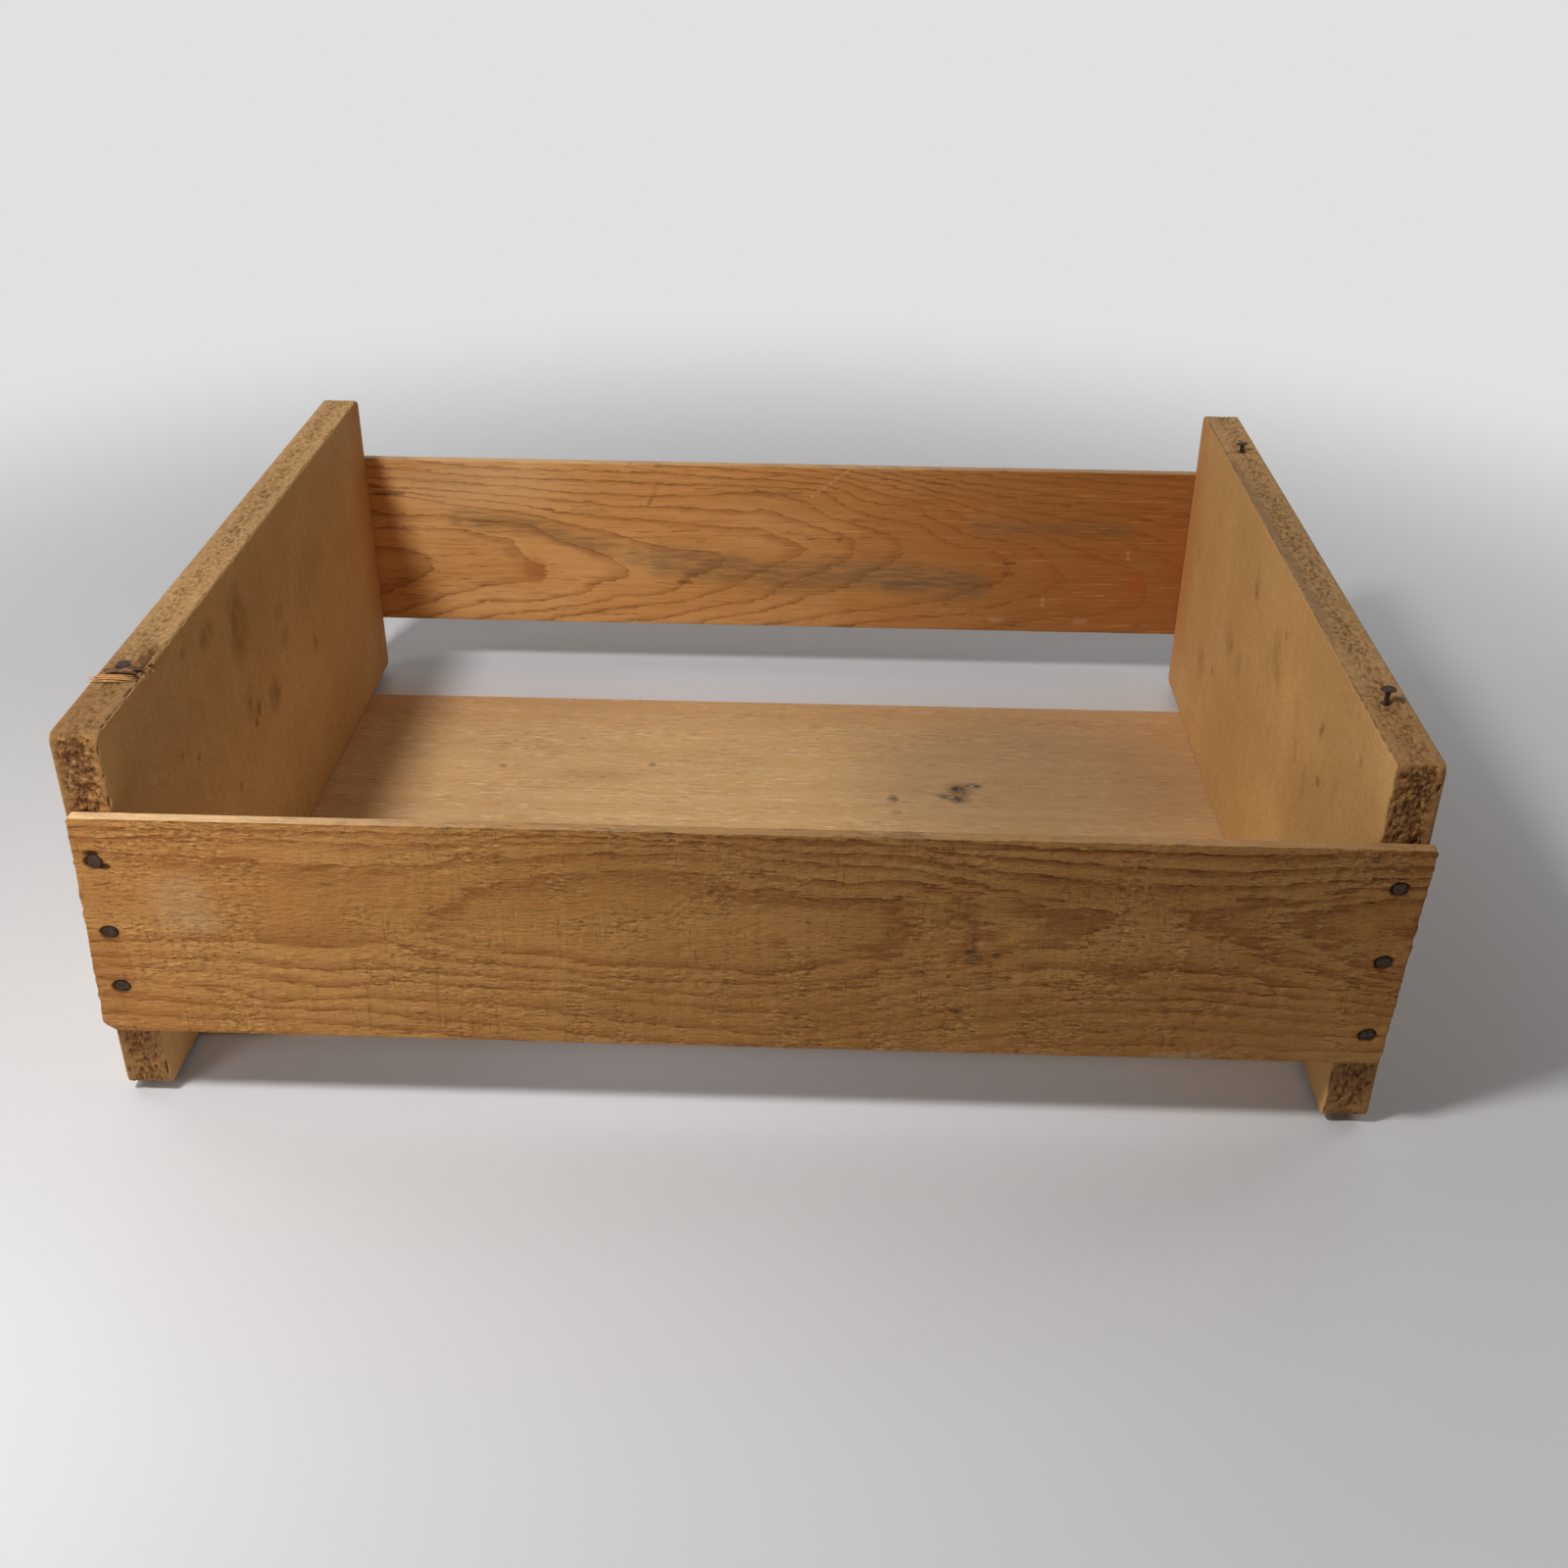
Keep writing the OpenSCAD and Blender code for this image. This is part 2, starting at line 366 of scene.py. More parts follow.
class Material:
    """A small wrapper for a node material, with places given in millimetres."""

    def __init__(self, name, roughness, specular=0.35):
        self.data = bpy.data.materials.new(name)
        self.data.use_nodes = True
        self.tree = self.data.node_tree
        self.shader = self.tree.nodes["Principled BSDF"]
        self.shader.inputs["Roughness"].default_value = roughness
        self.shader.inputs["Specular IOR Level"].default_value = specular
        self.place = self.tree.nodes.new("ShaderNodeTexCoord").outputs["Object"]

    def put(self, socket, value):
        if isinstance(value, bpy.types.NodeSocket):
            self.tree.links.new(value, socket)
        elif isinstance(value, tuple) and len(value) == 3 and socket.type == "RGBA":
            socket.default_value = (*value, 1)
        else:
            socket.default_value = value

    def math(self, operation, a, b=0.0):
        node = self.tree.nodes.new("ShaderNodeMath")
        node.operation = operation
        self.put(node.inputs[0], a)
        self.put(node.inputs[1], b)
        return node.outputs[0]

    def product(self, first, *others):
        for other in others:
            first = self.math("MULTIPLY", first, other)
        return first

    def mix(self, factor, a, b, blend="MIX"):
        node = self.tree.nodes.new("ShaderNodeMix")
        node.data_type = "RGBA"
        node.blend_type = blend
        self.put(node.inputs[0], factor)
        self.put(node.inputs[6], a)
        self.put(node.inputs[7], b)
        return node.outputs[2]

    def step(self, value, low, high, out_low=0.0, out_high=1.0):
        """Smooth step of a value from low to high."""
        node = self.tree.nodes.new("ShaderNodeMapRange")
        node.interpolation_type = "SMOOTHSTEP"
        self.put(node.inputs[0], value)
        for k, number in enumerate((low, high, out_low, out_high), 1):
            self.put(node.inputs[k], number)
        return node.outputs[0]

    def painted(self, name):
        node = self.tree.nodes.new("ShaderNodeAttribute")
        node.attribute_name = name
        return node.outputs["Fac"]

    def scaled(self, cell, shift=(0, 0, 0)):
        node = self.tree.nodes.new("ShaderNodeMapping")
        node.inputs["Scale"].default_value = [1 / (size * MM) for size in cell]
        node.inputs["Location"].default_value = shift
        self.tree.links.new(self.place, node.inputs["Vector"])
        return node.outputs[0]

    def noise(self, cell, shift=(0, 0, 0), detail=3.0, rough=0.55):
        node = self.tree.nodes.new("ShaderNodeTexNoise")
        node.inputs["Scale"].default_value = 1.0
        node.inputs["Detail"].default_value = detail
        node.inputs["Roughness"].default_value = rough
        self.tree.links.new(self.scaled(cell, shift), node.inputs["Vector"])
        return node.outputs[0]

    def grains(self, cell, shift=(0, 0, 0)):
        """A random value for each grain of about the given size."""
        node = self.tree.nodes.new("ShaderNodeTexVoronoi")
        node.inputs["Scale"].default_value = 1.0
        self.tree.links.new(self.scaled(cell, shift), node.inputs["Vector"])
        return self.math("MULTIPLY", node.outputs["Color"], 1.0)

    def bundles(self, cell):
        """A random value for each short bundle of fibres, of a size in millimetres."""
        whole = self.tree.nodes.new("ShaderNodeVectorMath")
        whole.operation = "FLOOR"
        self.tree.links.new(self.scaled(cell), whole.inputs[0])
        node = self.tree.nodes.new("ShaderNodeTexWhiteNoise")
        self.tree.links.new(whole.outputs[0], node.inputs["Vector"])
        return node.outputs["Value"]

    def raised(self, cell, drop, shift=(0, 0, 0), detail=2.0, rough=0.6):
        """Above 0 on the sides of small lumps that face the upper left light, below 0 on their other sides.
        """
        way = (-0.5 * drop, -0.5 * drop, drop)
        moved = tuple(shift[k] + way[k] / cell[k] for k in range(3))
        return self.math("SUBTRACT", self.noise(cell, shift, detail, rough),
                         self.noise(cell, moved, detail, rough))

    def painted_lit_and_shaded(self, color, lumps, low, zone, light, dark):
        """Painted highlight and painted shade: the colour with a light tint on the lit sides of lumps and a
        dark one on the others.
        """
        lit = self.step(lumps, low, low + 0.12)
        shaded = self.step(lumps, -low - 0.12, -low, 1.0, 0.0)
        color = self.mix(self.product(lit, zone), color, light)
        return self.mix(self.product(shaded, zone), color, dark)

    def around(self, value, amount):
        """1 on average, more or less by amount as the value goes from 0 to 1."""
        return self.math("ADD", self.math("MULTIPLY", value, 2 * amount), 1 - amount)

    def shade(self, color, factor):
        """A colour made lighter or darker by a factor."""
        node = self.tree.nodes.new("ShaderNodeVectorMath")
        node.operation = "SCALE"
        self.put(node.inputs[0], color)
        self.put(node.inputs["Scale"], factor)
        return node.outputs[0]

    def bump(self, height, distance, strength=1.0):
        node = self.tree.nodes.new("ShaderNodeBump")
        node.inputs["Strength"].default_value = strength
        node.inputs["Distance"].default_value = distance * MM
        self.put(node.inputs["Height"], height)
        self.put(self.shader.inputs["Normal"], node.outputs[0])

    def finish(self, color):
        self.put(self.shader.inputs["Base Color"], color)
        return self.data


def ring_lines(m, run, run_cell, reach, steps=0.0):
    """Growth bands, and the dark line where each ends: sharp, and torn into steps by the fibres."""
    width = m.painted("ring_width")
    fibres = m.math("SUBTRACT", m.noise(run_cell, detail=3.0, rough=0.7), 0.5)
    waves = m.math("SUBTRACT", m.noise((9, 3, 3), shift=(8, 1, 3), detail=2.0), 0.5)
    ring = m.math("ADD", m.painted("ring"), m.product(fibres, m.painted("ring_run"), run))
    if steps:
        torn = m.math("SUBTRACT", m.bundles((23, 1000, 1.7)), 0.5)
        ring = m.math("ADD", ring, m.product(torn, m.painted("ring_run"), steps))
    ring = m.math("ADD", ring, m.math("DIVIDE", m.product(waves, 3.5), width))
    left = m.product(m.math("SUBTRACT", 1.0, m.math("FRACT", ring)), width)
    away = m.math("DIVIDE", left, m.math("ADD", m.product(width, reach), 0.7))
    return m.step(away, 0.25, 1.0, 1.0, 0.0), m.step(left, 0.3, 1.3, 1.0, 0.0)


def sawn_softwood():
    m = Material("sawn_softwood", roughness=0.75, specular=0.1)
    broad = m.noise((90, 30, 26), detail=2.0)
    fibre = m.noise((18, 1.0, 0.9), detail=4.0, rough=0.7)
    saw = m.noise((1.1, 9, 60), shift=(5, 0, 2), detail=3.0, rough=0.7)
    color = m.mix(m.step(broad, 0.35, 0.65), (0.521, 0.254, 0.076), (0.454, 0.208, 0.057))
    band, line = ring_lines(m, run=20, run_cell=(7, 3, 0.9), reach=0.55, steps=13)
    strength = m.product(m.step(m.noise((35, 9, 9), shift=(1, 4, 2)), 0.22, 0.6, 0.45, 1.0),
                         m.painted("ring_share"))
    color = m.mix(m.product(band, strength, 0.92), color, (0.316, 0.118, 0.032))
    dashes = m.step(m.noise((12, 3, 1.2), shift=(6, 1, 8), detail=2.0), 0.42, 0.58)
    color = m.mix(m.product(line, dashes, strength, 0.9), color, (0.158, 0.055, 0.013))
    columns = m.step(m.noise((8, 9, 120), shift=(9, 2, 4), detail=2.0), 0.44, 0.60, 0.12, 1.0)
    patches = m.step(m.noise((26, 9, 12), shift=(3, 3, 3)), 0.36, 0.62, 0.15, 1.0)
    rough_zone = m.product(columns, patches)
    lumps = m.raised((2.6, 0.9, 1.1), 0.55, shift=(2, 8, 5))
    # painted highlight and painted shade on the sides of small torn lumps
    color = m.painted_lit_and_shaded(color, lumps, 0.06, m.product(rough_zone, 0.75), (0.62, 0.35, 0.13),
                     (0.166, 0.063, 0.016))
    ridges = m.raised((7, 0.9, 0.9), 0.4, shift=(4, 2, 9))
    # painted highlight and painted shade on the sides of fine ridges
    color = m.painted_lit_and_shaded(color, ridges, 0.08, m.product(patches, 0.22), (0.632, 0.356, 0.126),
                     (0.213, 0.079, 0.02))
    hairs = m.step(m.noise((9, 1, 0.5), shift=(6, 1, 1), detail=2.0), 0.64, 0.71)
    color = m.mix(m.product(hairs, patches, 0.6), color, (0.118, 0.043, 0.013))
    ticks = m.product(m.step(m.noise((0.6, 2, 7), shift=(1, 7, 3), detail=1.0), 0.62, 0.72),
                      m.step(m.noise((16, 9, 12), shift=(7, 7, 7)), 0.5, 0.62))
    color = m.mix(m.product(ticks, 0.5), color, (0.158, 0.059, 0.016))
    color = m.shade(color, m.around(fibre, 0.22))
    color = m.shade(color, m.around(saw, 0.13))
    # pale rubs, and the painted highlight on the top edge, both with fibres in them
    worn = m.around(m.noise((8, 1.3, 3), shift=(7, 3, 1), detail=4.0, rough=0.7), 0.32)
    color = m.mix(m.product(m.painted("pale"), 0.6), color, m.shade((0.553, 0.363, 0.19), worn))
    # painted light and shade: a brightness factor over the colour
    color = m.shade(color, m.painted("painted_light"))
    color = m.mix(m.product(m.painted("warm"), 0.7), color, (0.3, 0.095, 0.022))
    broken = m.step(m.noise((4, 1, 0.9), shift=(5, 5, 5), detail=3.0), 0.36, 0.56, 0.35, 1.0)
    color = m.mix(m.product(m.painted("stain"), broken), color, (0.13, 0.06, 0.026))
    color = m.mix(m.product(m.painted("dark"), 0.9), color, (0.06, 0.025, 0.010))
    color = m.mix(m.painted("end_grain"), color, m.shade((0.19, 0.099, 0.04), m.around(fibre, 0.5)))
    torn = m.noise((2.8, 0.8, 0.95), shift=(3, 1, 7), detail=3.0, rough=0.65)
    height = m.math("ADD", m.product(fibre, 0.6), m.math("ADD", m.product(torn, 1.2), m.product(saw, 0.3)))
    m.bump(m.math("SUBTRACT", height, m.product(hairs, 0.6)), 0.6, 1.0)
    return m.finish(color)


def planed_softwood():
    m = Material("planed_softwood", roughness=0.5, specular=0.28)
    broad = m.noise((80, 30, 22), shift=(4, 1, 1), detail=2.0)
    fibre = m.noise((34, 1.0, 1.1), shift=(1, 2, 3), detail=5.0, rough=0.75)
    fuzz = m.noise((4.0, 0.8, 0.5), shift=(3, 1, 2), detail=2.0)
    color = m.mix(m.step(broad, 0.35, 0.65), (0.84, 0.465, 0.175), (0.73, 0.365, 0.12))
    color = m.mix(m.product(m.painted("warm"), 0.9), color, (0.335, 0.125, 0.026))
    band, line = ring_lines(m, run=9, run_cell=(10, 3, 1.2), reach=0.30)
    strength = m.step(m.noise((30, 9, 8), shift=(6, 4, 2)), 0.25, 0.7, 0.5, 1.0)
    dashes = m.step(m.noise((11, 2, 1.4), shift=(6, 1, 8), detail=2.0), 0.40, 0.56, 0.35, 1.0)
    color = m.mix(m.product(band, strength, 0.5), color, (0.36, 0.125, 0.027))
    color = m.mix(m.product(line, dashes, strength, 0.55), color, (0.22, 0.070, 0.016))
    ridges = m.raised((20, 0.9, 1.3), 0.6, shift=(2, 6, 4))
    zone = m.step(m.noise((70, 9, 12), shift=(3, 6, 8)), 0.42, 0.62, 0.1, 0.4)
    # painted highlight and painted shade on the sides of low ridges
    color = m.painted_lit_and_shaded(color, ridges, 0.08, zone, (0.72, 0.37, 0.13), (0.36, 0.13, 0.03))
    hairs = m.step(m.noise((14, 1, 0.6), shift=(2, 6, 4), detail=2.0), 0.62, 0.69)
    few = m.step(m.noise((60, 9, 14), shift=(5, 6, 4)), 0.42, 0.6, 0.1, 1.0)
    color = m.mix(m.product(hairs, few, 0.75), color, (0.15, 0.05, 0.014))
    color = m.shade(color, m.around(fibre, 0.34))
    color = m.mix(m.product(m.painted("red"), 0.6), color, (0.42, 0.12, 0.03))
    cloud = m.step(m.noise((18, 9, 2.0), shift=(2, 2, 5), detail=4.0, rough=0.65), 0.34, 0.6, 0.25, 1.0)
    color = m.mix(m.product(m.painted("stain"), cloud, 0.85), color, (0.175, 0.125, 0.065))
    # pale marks, and the painted highlight on the top edge
    color = m.mix(m.product(m.painted("pale"), 0.6), color, (0.80, 0.56, 0.32))
    color = m.mix(m.product(m.painted("dark"), 0.9), color, (0.09, 0.035, 0.012))
    color = m.mix(m.painted("end_grain"), color, m.shade((0.27, 0.13, 0.05), m.around(fuzz, 0.5)))
    height = m.math("ADD", m.product(fibre, 0.8), m.product(fuzz, 0.4))
    m.bump(m.math("SUBTRACT", height, m.product(m.math("ADD", line, hairs), 0.3)), 0.18, 0.9)
    return m.finish(color)


def pale_softwood():
    m = Material("pale_softwood", roughness=0.6, specular=0.25)
    wide = m.noise((120, 9, 30), shift=(0, 3, 1), detail=4.0, rough=0.65)
    streak = m.noise((24, 1.6, 1.0), shift=(1, 5, 3), detail=5.0, rough=0.75)
    fuzz = m.noise((4.5, 1.2, 0.5), shift=(4, 2, 1), detail=3.0, rough=0.7)
    color = m.mix(m.step(wide, 0.35, 0.65), (0.755, 0.478, 0.228), (0.70, 0.422, 0.185))
    color = m.shade(color, m.around(streak, 0.15))
    ridges = m.raised((9, 1.6, 0.8), 0.8, shift=(7, 2, 9))
    zone = m.step(m.noise((50, 12, 30), shift=(3, 6, 8)), 0.42, 0.62, 0.05, 0.4)
    # painted highlight and painted shade on the sides of low ridges
    color = m.painted_lit_and_shaded(color, ridges, 0.07, zone, (0.94, 0.68, 0.42), (0.40, 0.20, 0.075))
    color = m.shade(color, m.around(fuzz, 0.14))
    color = m.shade(color, m.around(m.noise((70, 6, 30), shift=(9, 9, 2), detail=4.0), 0.10))
    color = m.shade(color, m.around(m.noise((60, 40, 30), shift=(2, 9, 5), detail=3.0), 0.10))
    dashes = m.step(m.noise((9, 1.3, 0.6), shift=(2, 4, 6), detail=2.0), 0.60, 0.68)
    color = m.mix(m.product(dashes, 0.8), color, (0.90, 0.64, 0.36))
    hairs = m.step(m.noise((10, 1.0, 0.5), shift=(3, 2, 9), detail=2.0), 0.64, 0.72)
    color = m.mix(m.product(hairs, 0.55), color, (0.30, 0.14, 0.05))
    color = m.mix(m.product(m.painted("warm"), 0.75), color, (0.52, 0.245, 0.085))
    color = m.mix(m.product(m.painted("stain"), 0.6), color, (0.27, 0.18, 0.10))
    smear = m.step(m.noise((2.6, 0.8, 0.5), shift=(5, 5, 5), detail=3.0), 0.36, 0.52, 0.15, 1.0)
    color = m.mix(m.product(m.painted("dark"), smear), color, (0.04, 0.03, 0.022))
    color = m.mix(m.painted("end_grain"), color, m.shade((0.34, 0.19, 0.08), m.around(fuzz, 0.5)))
    m.bump(m.math("ADD", streak, m.product(fuzz, 0.5)), 0.14, 0.9)
    return m.finish(color)


def chipboard():
    m = Material("chipboard", roughness=0.7, specular=0.08)
    speck = m.noise((1.5, 1.9, 1.3), shift=(2, 1, 3), detail=4.0, rough=0.75)
    face = chipboard_face(m, speck)
    chips = m.noise((1.4, 2.4, 1.8), shift=(3, 2, 1), detail=3.0, rough=0.7)
    core = m.mix(m.step(chips, 0.35, 0.65), (0.36, 0.197, 0.076), (0.49, 0.297, 0.13))
    core = m.shade(core, m.around(speck, 0.22))
    # darker on the upright edges, and on the top towards the front
    core = m.mix(m.painted("darker_rim"), core, m.shade((0.29, 0.125, 0.036), m.around(chips, 0.55)))
    loose = m.painted("loose")
    lumps = m.raised((3.2, 3.6, 3.0), 1.1, shift=(6, 2, 4), detail=2.0)
    # painted highlight and painted shade on the sides of loose chips
    core = m.painted_lit_and_shaded(core, lumps, 0.03, loose, (0.54, 0.265, 0.08), (0.16, 0.056, 0.015))
    # painted shade in the thin curly gaps between chips
    curls = m.math("ABSOLUTE", m.math("SUBTRACT", m.noise((3.2, 4.0, 3.2), shift=(1, 6, 2),
                                                          detail=3.0, rough=0.65), 0.5))
    cracks = m.step(curls, 0.0, 0.05, 1.0, 0.0)
    core = m.mix(m.product(cracks, loose, loose), core, (0.085, 0.03, 0.009))
    # painted light and shade on the ends: a brightness factor over face and rim
    color = m.shade(m.mix(m.painted("rim"), face, core), m.painted("painted_light"))
    color = m.mix(m.product(m.painted("worn"), 0.8), color, (0.27, 0.165, 0.09))
    # painted shade in the pits, cracks, lid holes, torn pocket and crumbled arris
    color = m.mix(m.product(m.painted("pit"), 0.72), color, (0.12, 0.05, 0.016))
    coarse = m.product(chips, m.painted("rim"), 2.0)
    m.bump(m.math("ADD", m.product(speck, 0.5), coarse), 0.25, 0.8)
    return m.finish(color)


def chipboard_face(m, speck):
    """The smooth sanded faces, with fine upright streaks, dots and smudges."""
    cloud = m.noise((60, 60, 40), detail=3.0)
    upright = m.noise((4, 4, 18), shift=(2, 5, 1), detail=3.0, rough=0.6)
    face = m.mix(m.step(cloud, 0.3, 0.7), (0.585, 0.345, 0.134), (0.52, 0.295, 0.108))
    face = m.shade(m.shade(face, m.around(speck, 0.3)), m.around(upright, 0.10))
    dots = m.step(m.noise((1.4, 1.4, 1.9), shift=(4, 4, 4), detail=2.0), 0.65, 0.72)
    face = m.mix(m.product(dots, 0.55), face, (0.25, 0.115, 0.035))
    face = m.mix(m.product(m.painted("warm"), 0.6), face, (0.52, 0.225, 0.065))
    streak = m.step(m.noise((3, 3, 8), shift=(4, 4, 0), detail=4.0, rough=0.65), 0.32, 0.6, 0.3, 1.0)
    face = m.mix(m.product(m.painted("smudge"), streak, 0.75), face, (0.25, 0.125, 0.045))
    return m.mix(m.product(m.painted("dark"), 0.85), face, (0.13, 0.06, 0.02))


def rusty_steel():
    m = Material("rusty_steel", roughness=0.6, specular=0.12)
    patch = m.noise((1.3, 1.3, 1.3), detail=4.0, rough=0.65)
    speck = m.noise((0.35, 0.35, 0.35), shift=(3, 3, 3), detail=3.0)
    color = m.mix(m.step(patch, 0.36, 0.64), (0.030, 0.023, 0.018), (0.088, 0.053, 0.033))
    color = m.mix(m.step(speck, 0.58, 0.75), color, (0.21, 0.155, 0.115))
    m.put(m.shader.inputs["Roughness"], m.step(patch, 0.3, 0.7, 0.5, 0.8))
    m.bump(m.math("ADD", patch, speck), 0.15, 0.8)
    return m.finish(color)


def splinter_wood():
    m = Material("splinter_wood", roughness=0.75, specular=0.2)
    fibre = m.noise((2.5, 0.5, 0.5), detail=4.0, rough=0.7)
    patch = m.noise((3, 2, 2), shift=(5, 1, 2), detail=2.0)
    scrap = m.mix(m.step(patch, 0.35, 0.62), (0.26, 0.14, 0.068), (0.085, 0.038, 0.018))
    fresh = m.mix(m.step(fibre, 0.4, 0.62), (0.46, 0.19, 0.07), (0.72, 0.385, 0.165))
    m.bump(fibre, 0.2, 0.9)
    return m.finish(m.mix(m.painted("fresh"), scrap, fresh))


# What the boards share

def carve(board, amount):
    """Pushes points into the wood by an amount in millimetres, the deeper of two pushes winning."""
    board.push = np.minimum(board.push, -np.maximum(amount, 0))


def seat_heads(board, places, face):
    """Cuts the recess that each nail's head sits in, with a torn dark ring round it: painted shade in the
    recess, and a dark stain past its edge.
    """
    board.paint.setdefault("dark", np.zeros(len(board.points)))
    radius = NAIL_HEAD_D / 2
    torn = noise(board.u, board.v, 2.2, 1.2, 71, 2)
    for u, v in places:
        away = np.hypot((board.u - u) / HEAD_WIDE, (board.v - v) / HEAD_HIGH)
        inside = 1 - ramp(away, radius + 0.05, radius + 0.3)
        carve(board, inside * face * (NAIL_SINK + NAIL_HEAD_T))
        # painted shade in the recess round the head, and a dark stain past it
        ring = (1 - ramp(away, radius, radius + 0.2 + 1.4 * torn)) * face
        board.paint["dark"] = np.maximum(board.paint["dark"], 0.85 * ring)


def fray_ends(board, seed, depth):
    """Rough sawn ends and slightly uneven long edges."""
    ends = ramp(np.abs(board.normals[:, 0]), 0.3, 0.9)
    coarse = noise(board.v, board.w, 2.6, 1.6, seed, 3)
    carve(board, ends * depth * ramp(coarse, 0.35, 0.9))
    edges = ramp(np.abs(board.normals[:, 1]), 0.2, 0.8)
    long = noise(board.u, board.w, 7, 1.4, seed + 5, 3)
    carve(board, edges * 0.25 * long)
    arris = board.rim * (board.front + board.back)
    chips = noise(board.u, board.v, 3.5, 3.5, seed + 9, 2)
    carve(board, arris * 4 * 0.45 * ramp(chips, 0.55, 0.85))
    board.paint["end_grain"] = ends * board.rim


def slat(length, outline, pitches, dimples, arris):
    width = slat_height()
    return Board(length, width, SLAT_T, arris=arris, corner=0.9, step=0.8, row=0.62,
                 pitches=pitches, outline=outline, wrap=3.0, dimples=dimples)


def slat_height():
    low, high = corners_of("front_slat")
    return high[2] - low[2]


# Where the nails are

FRONT_LEFT_HEIGHTS = [50.6, 73.3, 101.4]
FRONT_RIGHT_HEIGHTS = [43.7, 74.2, 103.2]
BACK_HEIGHTS = [44.4, 72.4, 100.4]
BOTTOM_NAIL_Y = [-105.5, 0, 105.5]
END_X = 213


# Front slat

FRONT_RINGS = [
    (9.2, [(-80, 84), (40, 84)]),
    (10, [(-104, 80), (-103, 87), (-92, 93), (-84, 98), (-65, 100), (-45, 103.5), (-25, 103.5),
          (-8, 101), (0, 97), (12, 97.5), (21, 94.5), (44, 95.5), (54, 94.5), (57, 87), (55, 78),
          (45, 70.5), (30, 66), (10, 62.5), (-10, 64), (-46, 65), (-70, 68.5), (-92, 70),
          (-104, 75), (-104, 80)]),
    (11, [(-220, 106), (-178, 105), (-150, 103), (-125, 102.5), (-104, 105), (-88, 108.5),
          (-75, 107.5), (-50, 110), (-15, 110), (0, 105.5), (18, 102.5), (30, 101), (45, 102.5),
          (62, 100), (72, 97.5), (77, 88), (78, 74), (70, 69.5), (55, 66.5), (40, 62), (20, 58.5),
          (0, 58), (-40, 59), (-60, 61.5), (-80, 63.8), (-98, 64.7), (-107, 68), (-122, 71.5),
          (-135, 69.5), (-180, 70.5), (-220, 69)]),
    (11, [(220, 100.5), (203, 98.5), (192, 95.5), (184, 94), (184, 85), (190, 83.5), (195, 79),
          (205, 72), (220, 67)]),
    (12, [(-220, 111), (-180, 112.5), (-120, 111), (-60, 114), (-20, 113.5), (0, 110), (20, 108),
          (45, 107.5), (62, 105.5), (80, 101.5), (93, 99), (101, 94.7), (118, 93), (120, 87),
          (113, 80), (108, 76.5), (95, 75.5), (85, 73), (70, 66), (50, 60), (40, 58.5),
          (20, 54.5), (0, 52.5), (-20, 53), (-60, 57), (-80, 58), (-120, 61), (-140, 59),
          (-160, 61), (-180, 63), (-215, 63)]),
    (12, [(220, 105), (205, 104), (195, 102), (185, 98.5), (165, 98.5), (160, 95), (145, 93),
          (141, 89), (143, 85.5), (155, 83), (164, 79.5), (176, 75), (190, 68.5), (205, 65),
          (220, 62)]),
    (13, [(-220, 115.5), (-120, 115.5), (-40, 116.5), (0, 114), (20, 112), (45, 112), (60, 110.5),
          (80, 107.5), (98, 105), (106, 104.3), (125, 103), (150, 103), (165, 103.3), (183, 106),
          (222, 108)]),
    (13, [(-215, 59), (-180, 57), (-160, 54.5), (-140, 52.5), (-120, 55), (-100, 54.5), (-60, 53),
          (-20, 48), (0, 46), (20, 46), (35, 50), (60, 56), (80, 62), (90, 65.5), (100, 67.5),
          (115, 66.5), (124, 62), (135, 67), (150, 68), (165, 66.5), (180, 63.5), (220, 60)]),
    (14, [(30, 117), (60, 114.5), (85, 112), (125, 109.5), (165, 108.5), (183, 110.5),
          (222, 112.5)]),
    (14, [(-215, 53), (-180, 51), (-160, 46), (-120, 48), (-80, 46.5), (-40, 41), (0, 37),
          (20, 38), (40, 44), (60, 52), (80, 57), (100, 61), (125, 58), (150, 61), (220, 56)]),
    (15, [(60, 118.5), (100, 116), (165, 115), (190, 116.5)]),
    (15, [(-215, 46), (-180, 43), (-130, 42), (-80, 38), (-40, 33), (20, 32), (45, 38), (65, 47),
          (85, 52), (110, 55), (150, 56), (220, 52)]),
    (16, [(60, 38), (80, 45), (110, 49), (150, 51), (220, 47.5)]),
    (17, [(75, 36), (110, 42), (150, 44), (220, 42)]),
    (18, [(100, 35), (150, 37), (220, 36)]),
]
FRONT_DARK = [(74, 49.6, 2.6, 1.3, 0.8), (85.2, 72.9, 2.0, 1.8, 0.7), (20, 45, 1.8, 1.0, 0.6),
              (124, 42, 1.8, 1.0, 0.6), (-137.5, 95, 4, 0.8, 0.5)]
FRONT_STAIN = [(77.5, 72, 4.2, 4.5, 0.8), (76.5, 80, 3.6, 6, 0.5), (75.5, 90, 3.6, 8, 0.4)]
GOUGE = [(-213.2, 104.4, 2.9, 1.7, 1.0), (-209.8, 99.4, 2.6, 1.5, 1.0)]
GOUGE_DEPTH = 1.5
FRONT_WARM = [(12, 76, 3.6, 3.6, 0.7), (-187, 101, 7, 1.4, 0.7), (-169, 104, 10, 1.6, 0.8),
              (-142, 101, 9, 1.4, 0.7), (-118, 100, 7, 1.4, 0.6), (-142, 69.5, 9, 1.0, 0.7),
              (-214, 92, 10, 16, 0.25), (214, 80, 12, 40, 0.3), (-212, 55, 9, 20, 0.25)]
FRONT_PALE = [(-187, 86, 13, 15, 0.55), (-181, 78, 9, 5, 0.55), (152, 33, 14, 2.0, 0.8),
              (-195, 92, 8, 4, 0.35)]
